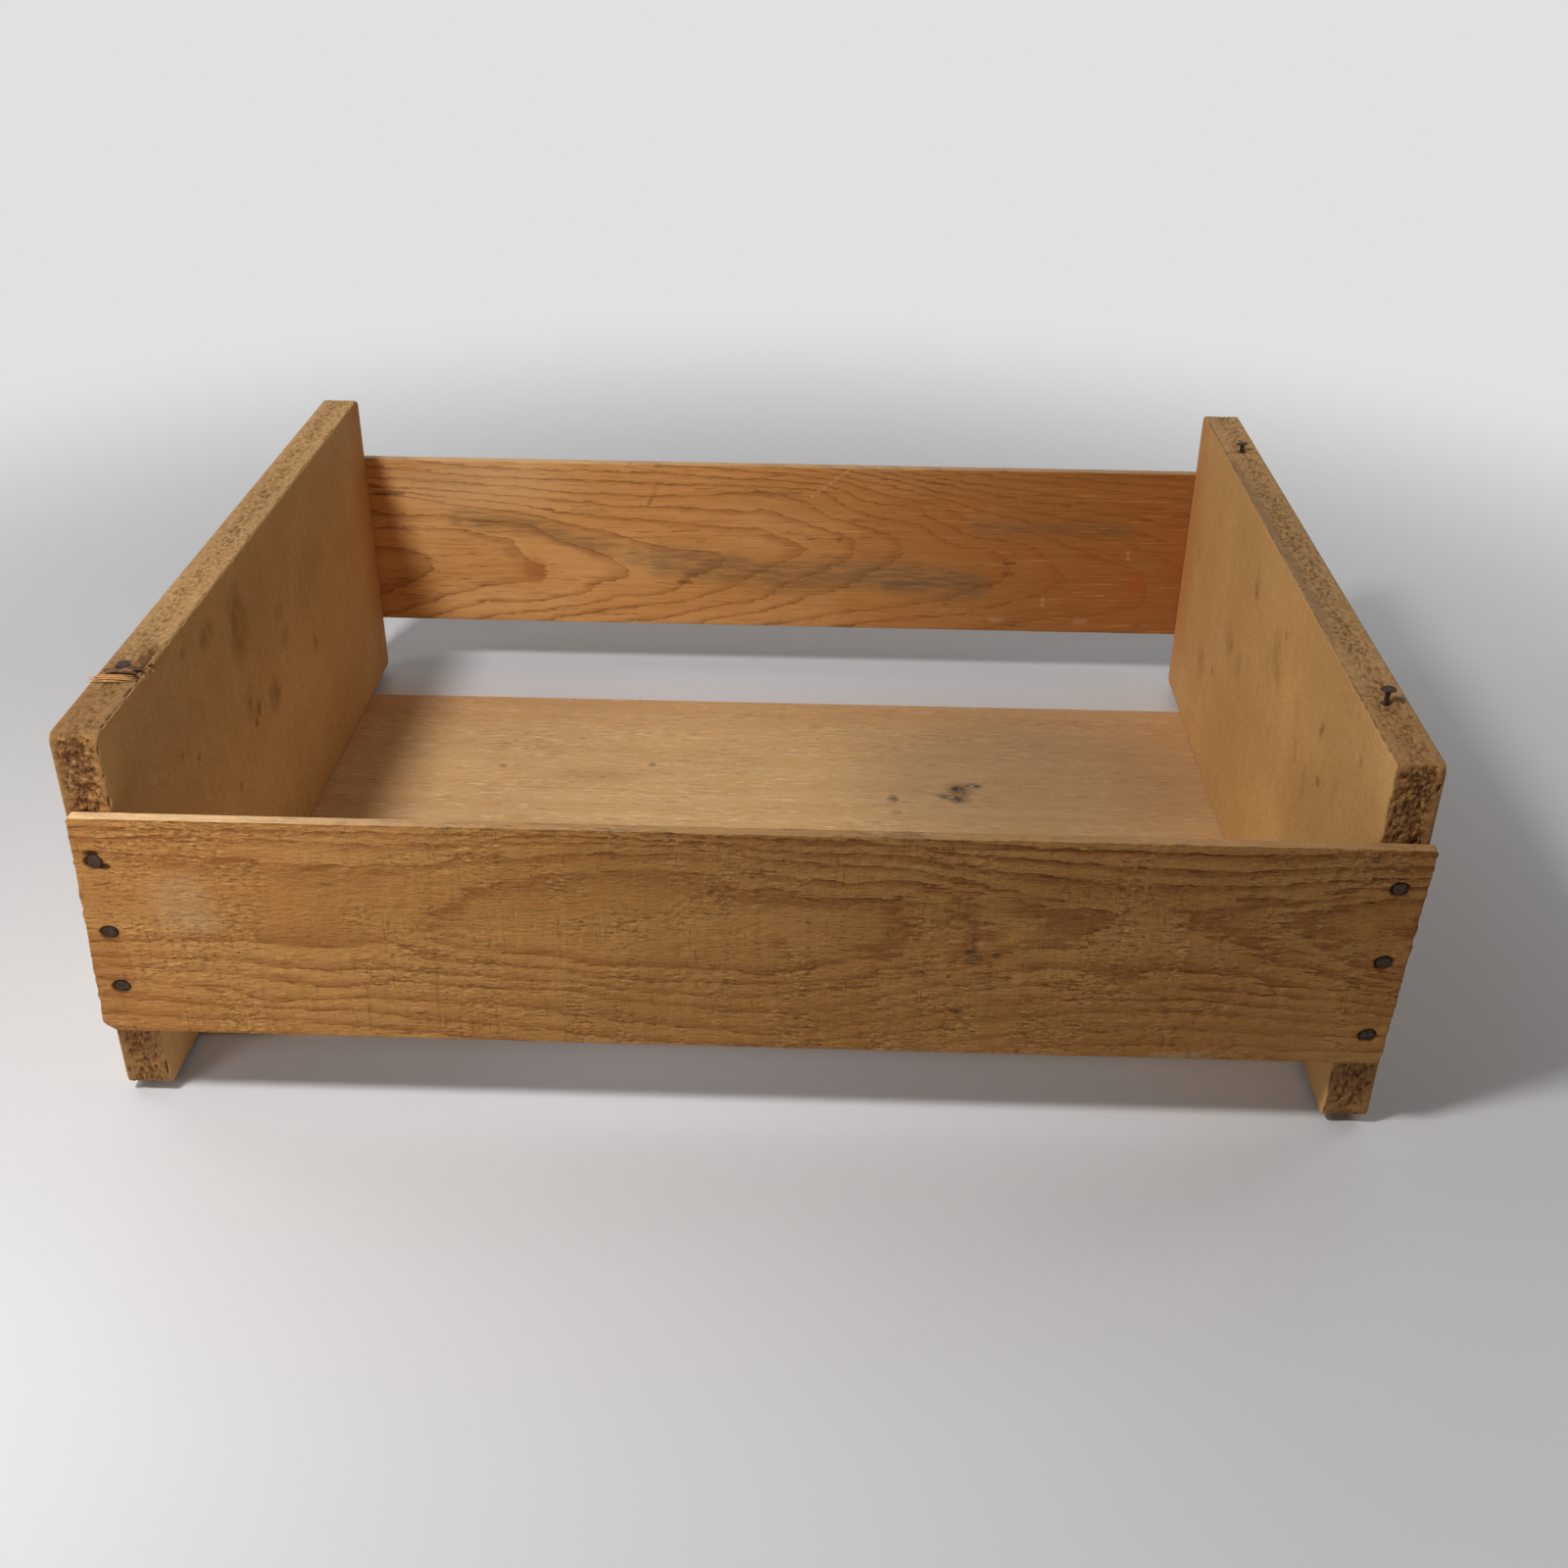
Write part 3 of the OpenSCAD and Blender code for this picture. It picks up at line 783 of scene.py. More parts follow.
SAW_LINES = [([(-163, 35), (-163, 80)], 0.6, 0.2), ([(-103, 35), (-103, 70)], 0.6, 0.35),
             ([(-103, 70), (-103, 115)], 0.6, 0.15), ([(-127, 35), (-127, 46)], 0.8, 0.35),
             ([(125, 64), (125, 100)], 0.7, 0.3), ([(-205, 79), (-165, 79)], 0.5, 0.3)]
TORN_LINE = [([(20, 115.2), (62, 114.6), (118, 115.1), (170, 114.4)], 0.7, 1.0)]


def front_slat(material):
    low, high = corners_of("front_slat")
    middle = (low[2] + high[2]) / 2
    length = high[0] - low[0] - FRONT_SKEW
    half_u, half_v = length / 2, (high[2] - low[2]) / 2
    outline = [(-half_u + CHIP_LEN, -half_v), (half_u, -half_v), (half_u, half_v),
               (-half_u, half_v), (-half_u, -half_v + CHIP_H)]
    places = [(-END_X - lean_at(z - middle), z - middle) for z in FRONT_LEFT_HEIGHTS]
    places += [(END_X - lean_at(z - middle), z - middle) for z in FRONT_RIGHT_HEIGHTS]
    dimples = [(u, v, 3.15) for u, v in places]
    board = slat(length, outline, (0.8, 3.0), (dimples, ()), arris=0.5)
    u, z = board.u, board.v + middle
    add_rings(board, FRONT_RINGS, middle)
    fray_ends(board, 11, 2.0)
    face = board.front
    near = (1 - board.paint["ring"] % 1) * board.paint["ring_width"]
    torn = ramp(noise(u, z, 3.4, 1.5, 27, 2), 0.45, 0.8) * noise(u, z, 14, 20, 35, 2)
    carve(board, face * (0.14 * noise(u, z, 9, 1.6, 21, 2) + 0.08 * noise(u, z, 1.9, 60, 25, 2)
                         + 0.45 * torn
                         + 0.16 * (1 - ramp(near, 0.3, 2.2)) * noise(u, z, 4, 2, 29)))
    carve(board, stroke(u, z + 0.5 * noise(u, z, 5, 50, 31), TORN_LINE) * face * 0.55)
    seat_heads(board, places, face)
    gouge = spot(u + board.v * FRONT_SKEW / slat_height(), z, GOUGE) * face
    carve(board, gouge * GOUGE_DEPTH)
    # painted shade in the gouge
    board.paint["dark"] = np.maximum(board.paint["dark"], gouge)
    board.paint["stain"] = spot(u, z, FRONT_STAIN)
    right = ramp(u, -60, 60)
    board.paint["ring_share"] = (0.76 + 0.24 * right) * (1 - (1 - ramp(z, 48, 68)) * (0.12 + 0.4 * right))
    # painted light: brighter at the left end, darker towards the right and in the upper half from the
    # middle rightwards, with a painted highlight on the top edge, strongest at the left end
    board.paint["painted_light"] = (1.12 - 0.24 * ramp(u, -190, 90) - 0.1 * ramp(z, 60, 105) * ramp(u, -80, 40)
                           + edge_light(board) * (0.4 - 0.4 * ramp(u, -200, -80) + 0.15 * ramp(u, 60, 160)))
    ragged = ramp(z, high[2] - 1.4, high[2] - 0.3) * ramp(noise(u, z, 3, 30, 33, 2), 0.4, 0.75)
    carve(board, ragged * face * 0.5)
    board.paint["dark"] = np.maximum(board.paint["dark"], spot(u, z, FRONT_DARK))
    board.paint["dark"] = np.maximum(board.paint["dark"], stroke(u, z, SAW_LINES) * 0.6)
    board.paint["warm"] = spot(u, z, FRONT_WARM)
    # painted highlight on the top edge, brightest towards the left end, joined to the pale rubs on the face
    top_light = edge_light(board) * (1.65 - 0.95 * ramp(u, -220, -60))
    board.paint["pale"] = np.maximum(spot(u, z, FRONT_PALE), top_light)
    axes = [(1, 0, 0), (0, 0, 1), (0, -1, 0)]
    return board.make("front_slat_sawn", "front_slat", (0, high[1], middle), axes, material,
                      "sawn_softwood", shear=FRONT_SKEW)


def lean_at(v):
    """How far the front slat's lean moves a point at height v from its middle."""
    return FRONT_SKEW * v / slat_height()


def edge_light(board):
    """1 on the top edge of a slat, which is planed and made paler by a painted highlight."""
    return ramp(board.normals[:, 1], 0.35, 0.8)


# Back slat

BACK_RINGS = [
    (1, [(-202, 80.5), (-160, 80), (-147, 76.5), (-134, 74.5), (-132, 71), (-127, 64), (-120, 61),
         (-118, 57), (-120, 53), (-133, 51), (-150, 48), (-160, 45), (-172, 42), (-182, 38),
         (-195, 33), (-203, 31)]),
    (2, [(-202, 88), (-165, 87), (-150, 85), (-125, 83.5), (-119, 80), (-110, 75), (-95, 71),
         (-85, 66), (-78, 61), (-75.5, 58), (-78, 55), (-85, 53), (-92, 51), (-99, 45.5),
         (-110, 44), (-125, 40), (-150, 40), (-160, 36.5), (-175, 32.5)]),
    (3, [(-202, 98.5), (-188, 97.5), (-160, 93), (-125, 89), (-105, 84), (-85, 80), (-75, 77),
         (-60, 73), (-45, 71), (-28, 69), (-30, 62), (-42, 56), (-48, 52), (-52, 49), (-60, 46),
         (-72, 44.5), (-80, 44.5), (-88, 42), (-98, 39.5), (-120, 35.5), (-145, 32)]),
    (4, [(-110, 90.5), (-80, 88), (-60, 87), (-45, 85.5), (-20, 83.5), (-8, 83.5), (0, 79.5),
         (10, 76), (14, 71), (10, 69), (0, 64), (-5, 61), (-28, 49), (-40, 45), (-50, 41.5),
         (-75, 38.5), (-90, 36), (-115, 31)]),
    (5, [(-200, 102.5), (-155, 100), (-130, 98.5), (-100, 96), (-75, 94), (-40, 94), (-17, 92.5),
         (-5, 94), (5, 90), (15, 87), (25, 83.5), (36, 80), (39, 75), (39, 71), (35, 67),
         (25, 62), (12, 56), (5, 53), (0, 49), (-6, 45), (-20, 42), (-35, 39), (-50, 34.5),
         (-65, 31.5)]),
    (6, [(-200, 107), (-160, 105), (-130, 103.5), (-110, 101.5), (-60, 100), (-40, 101),
         (-8, 103), (5, 101), (13, 99), (18, 96), (28, 90), (40, 87), (50, 84), (57, 81),
         (62, 77), (63, 72), (58, 66), (50, 62), (38, 54), (25, 48.5), (15, 46), (8, 42),
         (-10, 37), (-35, 32)]),
    (7, [(-150, 108.5), (-80, 107), (-40, 106.5), (0, 106), (22, 104), (30, 100), (38, 95),
         (50, 91), (70, 88), (80, 82), (85, 79), (95, 76), (105, 75), (114, 71), (118, 64),
         (113, 57), (100, 52), (85, 46), (60, 41), (25, 36), (10, 32.5)]),
    (8, [(40, 101), (55, 98), (70, 97), (75, 92), (82, 89), (90, 86), (93, 83), (105, 81),
         (127, 77.5), (132, 74), (138, 69), (143, 63), (147, 59), (140, 54), (135, 50),
         (115, 44), (100, 39), (80, 36), (50, 33)]),
    (9, [(50, 104), (62, 101), (80, 98), (90, 94), (97, 90), (103, 87.5), (115, 86.5), (130, 84),
         (140, 80), (152, 75.5), (165, 71), (175, 67.5), (182, 65), (187, 57), (188, 48),
         (180, 42), (170, 40), (140, 37), (120, 33)]),
    (10, [(60, 107), (80, 102), (100, 96), (120, 91.5), (140, 87), (150, 86), (158, 82),
          (170, 81.5), (180, 77.5), (195, 72), (203, 68)]),
    (11, [(60, 110), (80, 105), (110, 99), (140, 93), (160, 90), (180, 85), (203, 78.5)]),
    (12, [(60, 113), (90, 107.5), (120, 102), (150, 98), (180, 93), (203, 89)]),
    (13, [(80, 112), (110, 108), (150, 103), (203, 96)]),
    (14, [(80, 116), (120, 112), (160, 108), (203, 103)]),
    (15, [(110, 116), (160, 112), (203, 109)]),
]
BACK_SCRATCHES = [([(-59, 107), (-65, 95)], 0.7, 0.6), ([(-12, 103), (12, 103)], 0.7, 0.7),
                  ([(-105, 90.5), (-85, 90.5)], 0.7, 0.6), ([(-202, 98), (-188, 98)], 0.8, 0.7),
                  ([(-47, 57), (-41, 57)], 0.7, 0.7), ([(-50, 53), (-44, 53)], 0.7, 0.7),
                  ([(100, 54), (110, 54)], 0.8, 0.7), ([(115, 67), (120, 67)], 0.7, 0.7),
                  ([(115, 62), (120, 62)], 0.7, 0.7)]
BACK_PALE_LINES = [([(35, 115), (17, 101)], 0.5, 0.7), ([(177, 70), (177, 75)], 0.5, 0.7),
                   ([(136, 44), (136, 49)], 0.5, 0.7)]
BACK_PALE = [(113, 36, 5, 2, 0.35), (156, 36, 5, 2, 0.35), (-150, 104, 50, 18, 0.45)]
BACK_STAIN = [([(-160, 86), (-120, 82), (-95, 74), (-75, 68), (-60, 62)], 6.0, 0.6),
              ([(-60, 64), (-20, 61), (0, 57), (50, 60), (100, 54)], 10.0, 0.75),
              ([(55, 54), (97, 56)], 3.5, 1.0), ([(100, 86), (175, 86)], 4.0, 0.5)]
BACK_RED = [(-124, 59, 7, 9, 0.7), (183, 55, 6, 12, 0.8), (205, 70, 14, 40, 0.5)]


def back_slat(material):
    low, high = corners_of("back_slat")
    middle = (low[2] + high[2]) / 2
    places = [(side * END_X, z - middle) for side in (-1, 1) for z in BACK_HEIGHTS]
    dimples = [(u, v, 3.15) for u, v in places]
    board = slat(high[0] - low[0], None, (1.6, 2.4), ((), dimples), arris=0.6)
    u, z = board.u, board.v + middle
    add_rings(board, BACK_RINGS, middle)
    fray_ends(board, 41, 0.6)
    carve(board, board.back * 0.12 * noise(u, z, 12, 2.6, 45, 3))
    notches = [(-176, low[2], 2.2, 3.0, 1.0), (-147, low[2], 2.0, 2.6, 1.0)]
    carve(board, spot(u, z, notches) * board.rim * 0.8)
    seat_heads(board, places, board.back)
    dark = np.maximum(stroke(u, z, BACK_SCRATCHES), spot(u, z, [(31, 78, 1.3, 1.1, 0.9)]))
    board.paint["dark"] = np.maximum(board.paint["dark"], dark * board.front)
    pale = np.maximum(stroke(u, z, BACK_PALE_LINES), spot(u, z, BACK_PALE))
    # pale marks on the face, and a painted highlight on the top edge
    board.paint["pale"] = np.maximum(pale * board.front, edge_light(board) * 0.6)
    board.paint["stain"] = stroke(u, z, BACK_STAIN) * board.front
    board.paint["red"] = spot(u, z, BACK_RED)
    # darker and redder towards the right end
    board.paint["warm"] = ramp(u, -120, 170)
    axes = [(1, 0, 0), (0, 0, 1), (0, -1, 0)]
    return board.make("back_slat_planed", "back_slat", (0, high[1], middle), axes, material,
                      "planed_softwood")


# Bottom board

BOTTOM_DARK = [(90, 49, 7, 11, 0.5), (89, 53, 6, 4, 1.0), (88, 44, 4.5, 5, 1.0), (96, 56, 5, 3, 1.0),
               (82, 46, 3, 3, 0.8), (58.5, 43, 2.4, 4, 0.9), (-55, 69, 1.6, 1.6, 1.0),
               (-126, 64, 1.6, 1.6, 1.0), (107, 59, 2, 1.4, 0.9), (60, 30, 2.4, 2, 0.5)]
BOTTOM_LINES = [([(-102, 112), (-102, 134)], 0.6, 0.3), ([(-68, 112), (-68, 134)], 0.6, 0.3),
                ([(5, 112), (5, 134)], 0.6, 0.3), ([(59, 20), (59, 45)], 0.6, 0.3)]
BOTTOM_STAIN = [(-80, 58, 30, 6, 0.5), (88, 49, 14, 16, 0.5), (130, 60, 110, 90, 0.75)]


def bottom_board(material):
    low, high = corners_of("bottom_board")
    length, width, thick = high - low
    places = [(side * END_X, y) for side in (-1, 1) for y in BOTTOM_NAIL_Y]
    dimples = [(u, v, 3.15) for u, v in places]
    board = Board(length, width, thick, arris=0.4, corner=0.8, step=1.1, row=0.6,
                  pitches=(2.6, 3.4), wrap=3.0, dimples=((), dimples))
    u, v = board.u, board.v
    fray_ends(board, 61, 0.6)
    carve(board, board.back * 0.15 * noise(u, v, 16, 3.6, 65, 3))
    seat_heads(board, places, board.back)
    dark = np.maximum(spot(u, v, BOTTOM_DARK), stroke(u, v, BOTTOM_LINES))
    board.paint["dark"] = np.maximum(board.paint["dark"], dark * board.front)
    board.paint["stain"] = spot(u, v, BOTTOM_STAIN)
    board.paint["warm"] = np.maximum(ramp(v, 96, 130) * 0.35, ramp(u, 140, 200) * 0.4)
    axes = [(1, 0, 0), (0, 1, 0), (0, 0, 1)]
    return board.make("bottom_board_plain", "bottom_board", (0, 0, low[2]), axes, material,
                      "pale_softwood")


# Chipboard ends

# Places along the board from front to back, and heights, with half sizes and strength

LEFT_SMUDGES = [(-34, 122, 14, 20, 0.9), (-68, 133, 10, 6, 0.8), (-5, 76, 9, 9, 0.9),
                (-35, 86, 9, 10, 0.5), (16, 92, 8, 5, 0.6), (13, 105, 9, 6, 0.4),
                (60, 100, 30, 18, 0.3), (-10, 120, 20, 20, 0.25), (-100, 110, 30, 14, 0.25)]
LEFT_MARKS = [(-26.5, 80.5, 2.4, 4, 1), (-31.5, 76.5, 2.6, 2, 0.9), (-35, 88, 2.2, 2, 0.7),
              (56, 71, 3, 4, 0.7), (63, 72, 2, 1.5, 0.6), (-108, 104, 2, 2, 0.6),
              (-92, 137, 3, 2, 0.6), (-60, 62, 2.4, 2, 0.6), (-95, 96, 2, 1.6, 0.6)]
RIGHT_SMUDGES = [(-19, 113, 6, 9, 0.8), (57, 82, 8, 7, 0.8), (104, 47, 9, 8, 0.7),
                 (35, 79, 6, 7, 0.7), (24, 121, 5, 6, 0.8), (-26, 106, 4, 5, 0.9),
                 (-60, 104, 5, 8, 0.5), (-81, 87, 4, 8, 0.8), (-117, 105, 4, 6, 0.5),
                 (80, 110, 40, 30, 0.2), (-90, 70, 30, 30, 0.2), (139, 89, 4, 4, 0.6)]
RIGHT_MARKS = [(-92, 117, 2, 3, 0.9), (-65, 95, 1.6, 2.5, 0.8), (-68, 91, 1.4, 1.4, 0.8),
               (-82, 85, 1.6, 2.5, 0.7), (-99, 98.5, 2.2, 1.8, 1), (-138, 129, 2, 3, 0.5),
               (-28.7, 124.5, 1.6, 1.6, 0.7), (79, 54, 3, 2, 0.6), (-26, 78, 2, 2, 0.5),
               (24, 119, 1.6, 4, 0.7), (52, 80.5, 2, 3, 0.6)]


# Marks on the top edges: places along the board, and through its thickness from the outside

TOP_WORN = {"left_end": [([(-165, 15), (-125, 15.4)], 1.2, 0.35)],
            "right_end": [([(105, 15), (40, 14), (-20, 13.4), (-60, 14.4), (-82, 15.6)], 2.8, 0.8),
                          ([(160, 15.5), (-160, 15.8)], 0.7, 0.6)]}
TOP_CRACKS = {"left_end": [([(-118, 1), (-120, 4)], 0.5, 0.5)],
              "right_end": [([(-122, 16), (-123.6, 9.5)], 0.55, 1.0),
                            ([(116, 16), (117.4, 10)], 0.5, 0.8), ([(93, 15), (92, 4)], 0.5, 0.6)]}
TORN_POCKET = [(-107, 12.4, 4.2, 3.0, 1), (-113.5, 12.8, 4.6, 3.6, 1), (-120, 13.2, 5.0, 4.6, 1),
               (-126, 14.4, 4.2, 3.0, 1)]
POCKET_DEPTH = 3.2
LID_HOLES = {"left_end": [(-123.5, 1.6), (127.0, 1.5)],
             "right_end": [(-127.5, 1.5), (118.5, 1.5)]}


def add_pits(board, seed, spacing):
    """Long pits between the chips of the edges, most of them in the loose core, with painted shade in them.
    """
    draws = np.random.default_rng(seed)
    depth = np.zeros((board.columns, board.rows))
    step = board.perimeter / board.columns
    first = int(np.searchsorted(board.across, (board.across[-1] - END_T) / 2))
    upright = ramp(np.abs(board.grid(board.normals[:, 0])[:, board.rows // 2]), 0.5, 0.9)
    for _ in range(int(board.perimeter * END_T / spacing)):
        centre = draws.uniform(0, board.perimeter)
        column = int(centre / step)
        coarse = upright[column % board.columns]
        core = np.clip(draws.normal(0.5, 0.16), 0.03, 0.97)
        level = board.across[first] + core * END_T
        half_long = draws.uniform(0.5, 1.7)
        half_wide = draws.uniform(0.3, 0.62)
        deep = draws.uniform(0.15, 0.8) * (1 + 0.7 * coarse)
        reach = int(half_long / step) + 2
        near = np.arange(column - reach, column + reach + 1)
        away = np.abs(near * step - centre) / half_long
        rows = np.abs(board.across - level) / half_wide
        hollow = deep * (1 - ramp(np.hypot(away[:, None], rows[None]), 0.55, 1.15))
        index = near % board.columns
        depth[index] = np.maximum(depth[index], hollow)
    full = np.zeros(len(board.points))
    full[:depth.size] = depth.ravel()
    carve(board, full)
    # painted shade in the pits
    board.paint["pit"] = ramp(full, 0.12, 0.7)


def end_board(node, name, material, side, seed, smudges, marks):
    low, high = corners_of(node)
    middle = (low[2] + high[2]) / 2
    board = Board(high[1] - low[1], high[2] - low[2], END_T, arris=0.8, corner=END_CORNER_R,
                  step=0.62, row=0.6, pitches=(3.2, 3.6), wrap=4.0, dimples=((), ()))
    along = board.u if side < 0 else -board.u
    z = board.v + middle
    top = ramp(board.normals[:, 1], 0.3, 0.8)
    upright = ramp(np.abs(board.normals[:, 0]), 0.5, 0.9)
    board.paint["rim"] = ramp(1 - np.abs(board.normals[:, 2]), 0.25, 0.6)
    core = 1 - ramp(np.abs(board.w / END_T - 0.52), 0.26, 0.46)
    rough_end = upright * (0.45 + 0.55 * ramp(z, 35, 80))
    board.paint["loose"] = (0.15 + 0.85 * core) * (0.12 + 0.85 * rough_end) * board.paint["rim"]
    rough = noise(board.u, board.v, 1.6, 1.6, seed, 2) + noise(board.v + board.w, board.u, 1.3, 1.3,
                                                              seed + 3, 2)
    carve(board, board.paint["rim"] * (0.16 + 0.3 * upright * core) * rough)
    add_pits(board, seed, 3.8)
    wear_top(board, node, along, z, top, seed)
    soft = [(y, height, 1.15 * wide, 1.4 * high, 0.72 * share)
            for y, height, wide, high, share in (smudges if side > 0 else [])]
    board.paint["smudge"] = spot(along, z, soft or smudges) * board.front
    board.paint["dark"] = spot(along, z, marks) * board.front
    board.paint["warm"] = ramp(along, 138, 162) * board.front
    # painted light: the top edge lighter towards the back, the left end's darker towards the front; the
    # right end's inner face lighter at the back and low down, darker at the front
    rim_painted_light = 0.36 * ramp(along, 20, 150) - (0.28 if side < 0 else 0.0) * ramp(-along, 60, 130)
    face_painted_light = 0.1 * ramp(along, 30, 120) - 0.13 * ramp(-along, 40, 120) + 0.08 * ramp(-z, -70, -20)
    board.paint["painted_light"] = (1 + rim_painted_light * board.paint["rim"] * (1 - upright)
                           + (face_painted_light * board.front if side > 0 else 0.0))
    # darker on the upright edges, and on the top towards the front
    darker_rim = np.maximum(0.6 * upright, 0.4 * ramp(-along, 95, 150))
    board.paint["darker_rim"] = darker_rim * board.paint["rim"]
    direction = -side
    axes = [(0, direction, 0), (0, 0, 1), (direction, 0, 0)]
    outer = low[0] if side < 0 else high[0]
    return board.make(name, node, (outer, 0, middle), axes, material, "chipboard")


def wear_top(board, node, along, z, top, seed):
    """Wear along the inner arris, cracks and holes at the lid's nails, and the torn pocket."""
    arris = ramp(board.w, END_T - 1.6, END_T - 0.3) * board.rim
    crumbs = ramp(noise(along, z, 3.2, 3.2, seed + 7, 3), 0.42, 0.7) * (0.7 + 0.6 * ramp(-along, 90, 125))
    carve(board, arris * crumbs)
    pit = np.maximum(board.paint["pit"], arris * np.minimum(crumbs, 1))
    crack = stroke(along, board.w, TOP_CRACKS[node]) * top
    carve(board, crack * 0.7)
    pit = np.maximum(pit, crack)
    for hole_y, radius in LID_HOLES[node]:
        away = np.hypot(along - hole_y, board.w - END_T / 2)
        hole = 1 - ramp(away, radius, radius + 0.6)
        carve(board, hole * top * 1.6)
        pit = np.maximum(pit, hole * top)
    if node == "left_end":
        near_top = ramp(z, board.size[1] - 1.5, board.size[1] + 2.5)
        lumps = noise(along, board.w + z, 1.7, 1.7, seed + 11, 2)
        pocket = spot(along, board.w, TORN_POCKET) * near_top
        carve(board, pocket * POCKET_DEPTH * ramp(lumps, 0.2, 0.7))
        pit = np.maximum(pit, np.minimum(1, pocket * 1.4) * ramp(lumps, 0.2, 0.55))
    # painted shade in the crumbled arris, the cracks, the lid's holes and the torn pocket
    board.paint["pit"] = pit
    board.paint["worn"] = stroke(along, board.w, TOP_WORN[node]) * top


# Nails

def nail_profile():
    """(radius, height) down a nail, from the middle of its head to its point."""
    head, body = 0.95 * NAIL_HEAD_D / 2, NAIL_D / 2
    face = [(0.01, 0), (0.28 * head, -0.01), (0.5 * head, -0.02), (0.7 * head, -0.04),
            (0.86 * head, -0.09), (0.95 * head, -0.18), (head, -0.34), (0.97 * head, -0.52),
            (0.85 * head, -0.65), (0.6 * head, -NAIL_HEAD_T), (body * 1.25, -NAIL_HEAD_T - 0.05),
            (body, -NAIL_HEAD_T - 0.5)]
    shank = [(body, -share * (NAIL_LEN - NAIL_POINT)) for share in (0.06, 0.1, 0.14, 0.3, 0.6, 1)]
    return face + shank + [(NAIL_TIP_D / 2, -NAIL_LEN), (0.01, -NAIL_LEN)]


def nail_mesh(seed, bend):
    """Points and faces of one nail that points down, with a hammered head that leans a little."""
    draws = np.random.default_rng(seed)
    profile = np.array(nail_profile())
    sides = 30
    angles = 2 * math.pi * np.arange(sides) / sides
    radius = profile[:, :1] * (1 - 0.10 * noise(profile[:, 1:] * 2, angles[None] * 1.2, 1, 1, seed))
    height = profile[:, 1:] - 0.2 * noise(radius * np.cos(angles), radius * np.sin(angles) + 9,
                                          1.3, 1.3, seed + 1, 2) * (profile[:, 1:] > -0.5)
    points = np.dstack([radius * np.cos(angles), radius * np.sin(angles),
                        np.broadcast_to(height, radius.shape)]).reshape(-1, 3)
    head = ramp(points[:, 2], -3.0, -1.0)[:, None]
    points[:, :2] *= 1 + head * np.array([HEAD_WIDE - 1, HEAD_HIGH - 1])
    rows = len(profile)
    faces = []
    for k in range(rows - 1):
        for s in range(sides):
            t = (s + 1) % sides
            faces.append((k * sides + s, (k + 1) * sides + s, (k + 1) * sides + t, k * sides + t))
    faces.append(tuple(range(sides)))
    faces.append(tuple(reversed(range((rows - 1) * sides, rows * sides))))
    way = Matrix.Rotation(draws.uniform(0, 2 * math.pi), 3, "Z")
    loose = np.array(way @ Matrix.Rotation(math.radians(bend), 3, "X") @ way.inverted())
    bent = (points + [0, 0, NAIL_HEAD_T]) @ loose.T - [0, 0, NAIL_HEAD_T]
    return points * (1 - head) + bent * head, faces


def nails(name, node, places, out, material, seed, bends=(2, 3, 2)):
    """One mesh for the nails of a node, with their heads at the given places."""
    turn = np.array(Vector(out).to_track_quat("Z", "Y").to_matrix())
    points, faces = [], []
    for k, place in enumerate(places):
        nail_points, nail_faces = nail_mesh(seed + 7 * k, bends[k % len(bends)])
        start = k * len(nail_points)
        points.append(nail_points @ turn.T + place)
        faces += [tuple(start + i for i in face) for face in nail_faces]
    return plain_piece(name, node, np.vstack(points), faces, material)


def plain_piece(name, node, points, faces, material, paint=None):
    mesh = bpy.data.meshes.new(name)
    mesh.from_pydata((points * MM).tolist(), [], faces)
    mesh.polygons.foreach_set("use_smooth", [True] * len(mesh.polygons))
    for label, values in (paint or {}).items():
        mesh.attributes.new(label, "FLOAT", "POINT").data.foreach_set("value", values)
    mesh.materials.append(material)
    piece = bpy.data.objects.new(name, mesh)
    bpy.context.scene.collection.objects.link(piece)
    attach(piece, BODY)
    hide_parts(node)
    return piece


def all_nails(material):
    front = corners_of("front_slat")[0][1] + NAIL_SINK
    back = corners_of("back_slat")[1][1] - NAIL_SINK
    nails("nails_front_left", "front_nails_left", [(-END_X, front, z) for z in FRONT_LEFT_HEIGHTS],
          (0, -1, 0), material, 101, bends=(4, 4, 11))
    nails("nails_front_right", "front_nails_right",
          [(END_X, front, z) for z in FRONT_RIGHT_HEIGHTS], (0, -1, 0), material, 131)
    nails("nails_back_left", "back_nails_left", [(-END_X, back, z) for z in BACK_HEIGHTS],
          (0, 1, 0), material, 161)
    nails("nails_back_right", "back_nails_right", [(END_X, back, z) for z in BACK_HEIGHTS],
          (0, 1, 0), material, 191)
    nails("nails_bottom_left", "bottom_nails_left", [(-END_X, y, NAIL_SINK) for y in BOTTOM_NAIL_Y],
          (0, 0, -1), material, 221)
    nails("nails_bottom_right", "bottom_nails_right",
          [(END_X, y, NAIL_SINK) for y in BOTTOM_NAIL_Y], (0, 0, -1), material, 251)
    for k, node in enumerate(("lid_nail_right_front", "lid_nail_right_back",
                              "lid_nail_left_front")):
        low, high = corners_of(node)
        top = ((low[0] + high[0]) / 2, (low[1] + high[1]) / 2, high[2])
        nails(node + "_rusty", node, [top], (0, 0, 1), material, 281 + 10 * k, bends=(6,))


# Splinter of the lost lid, under the left front nail

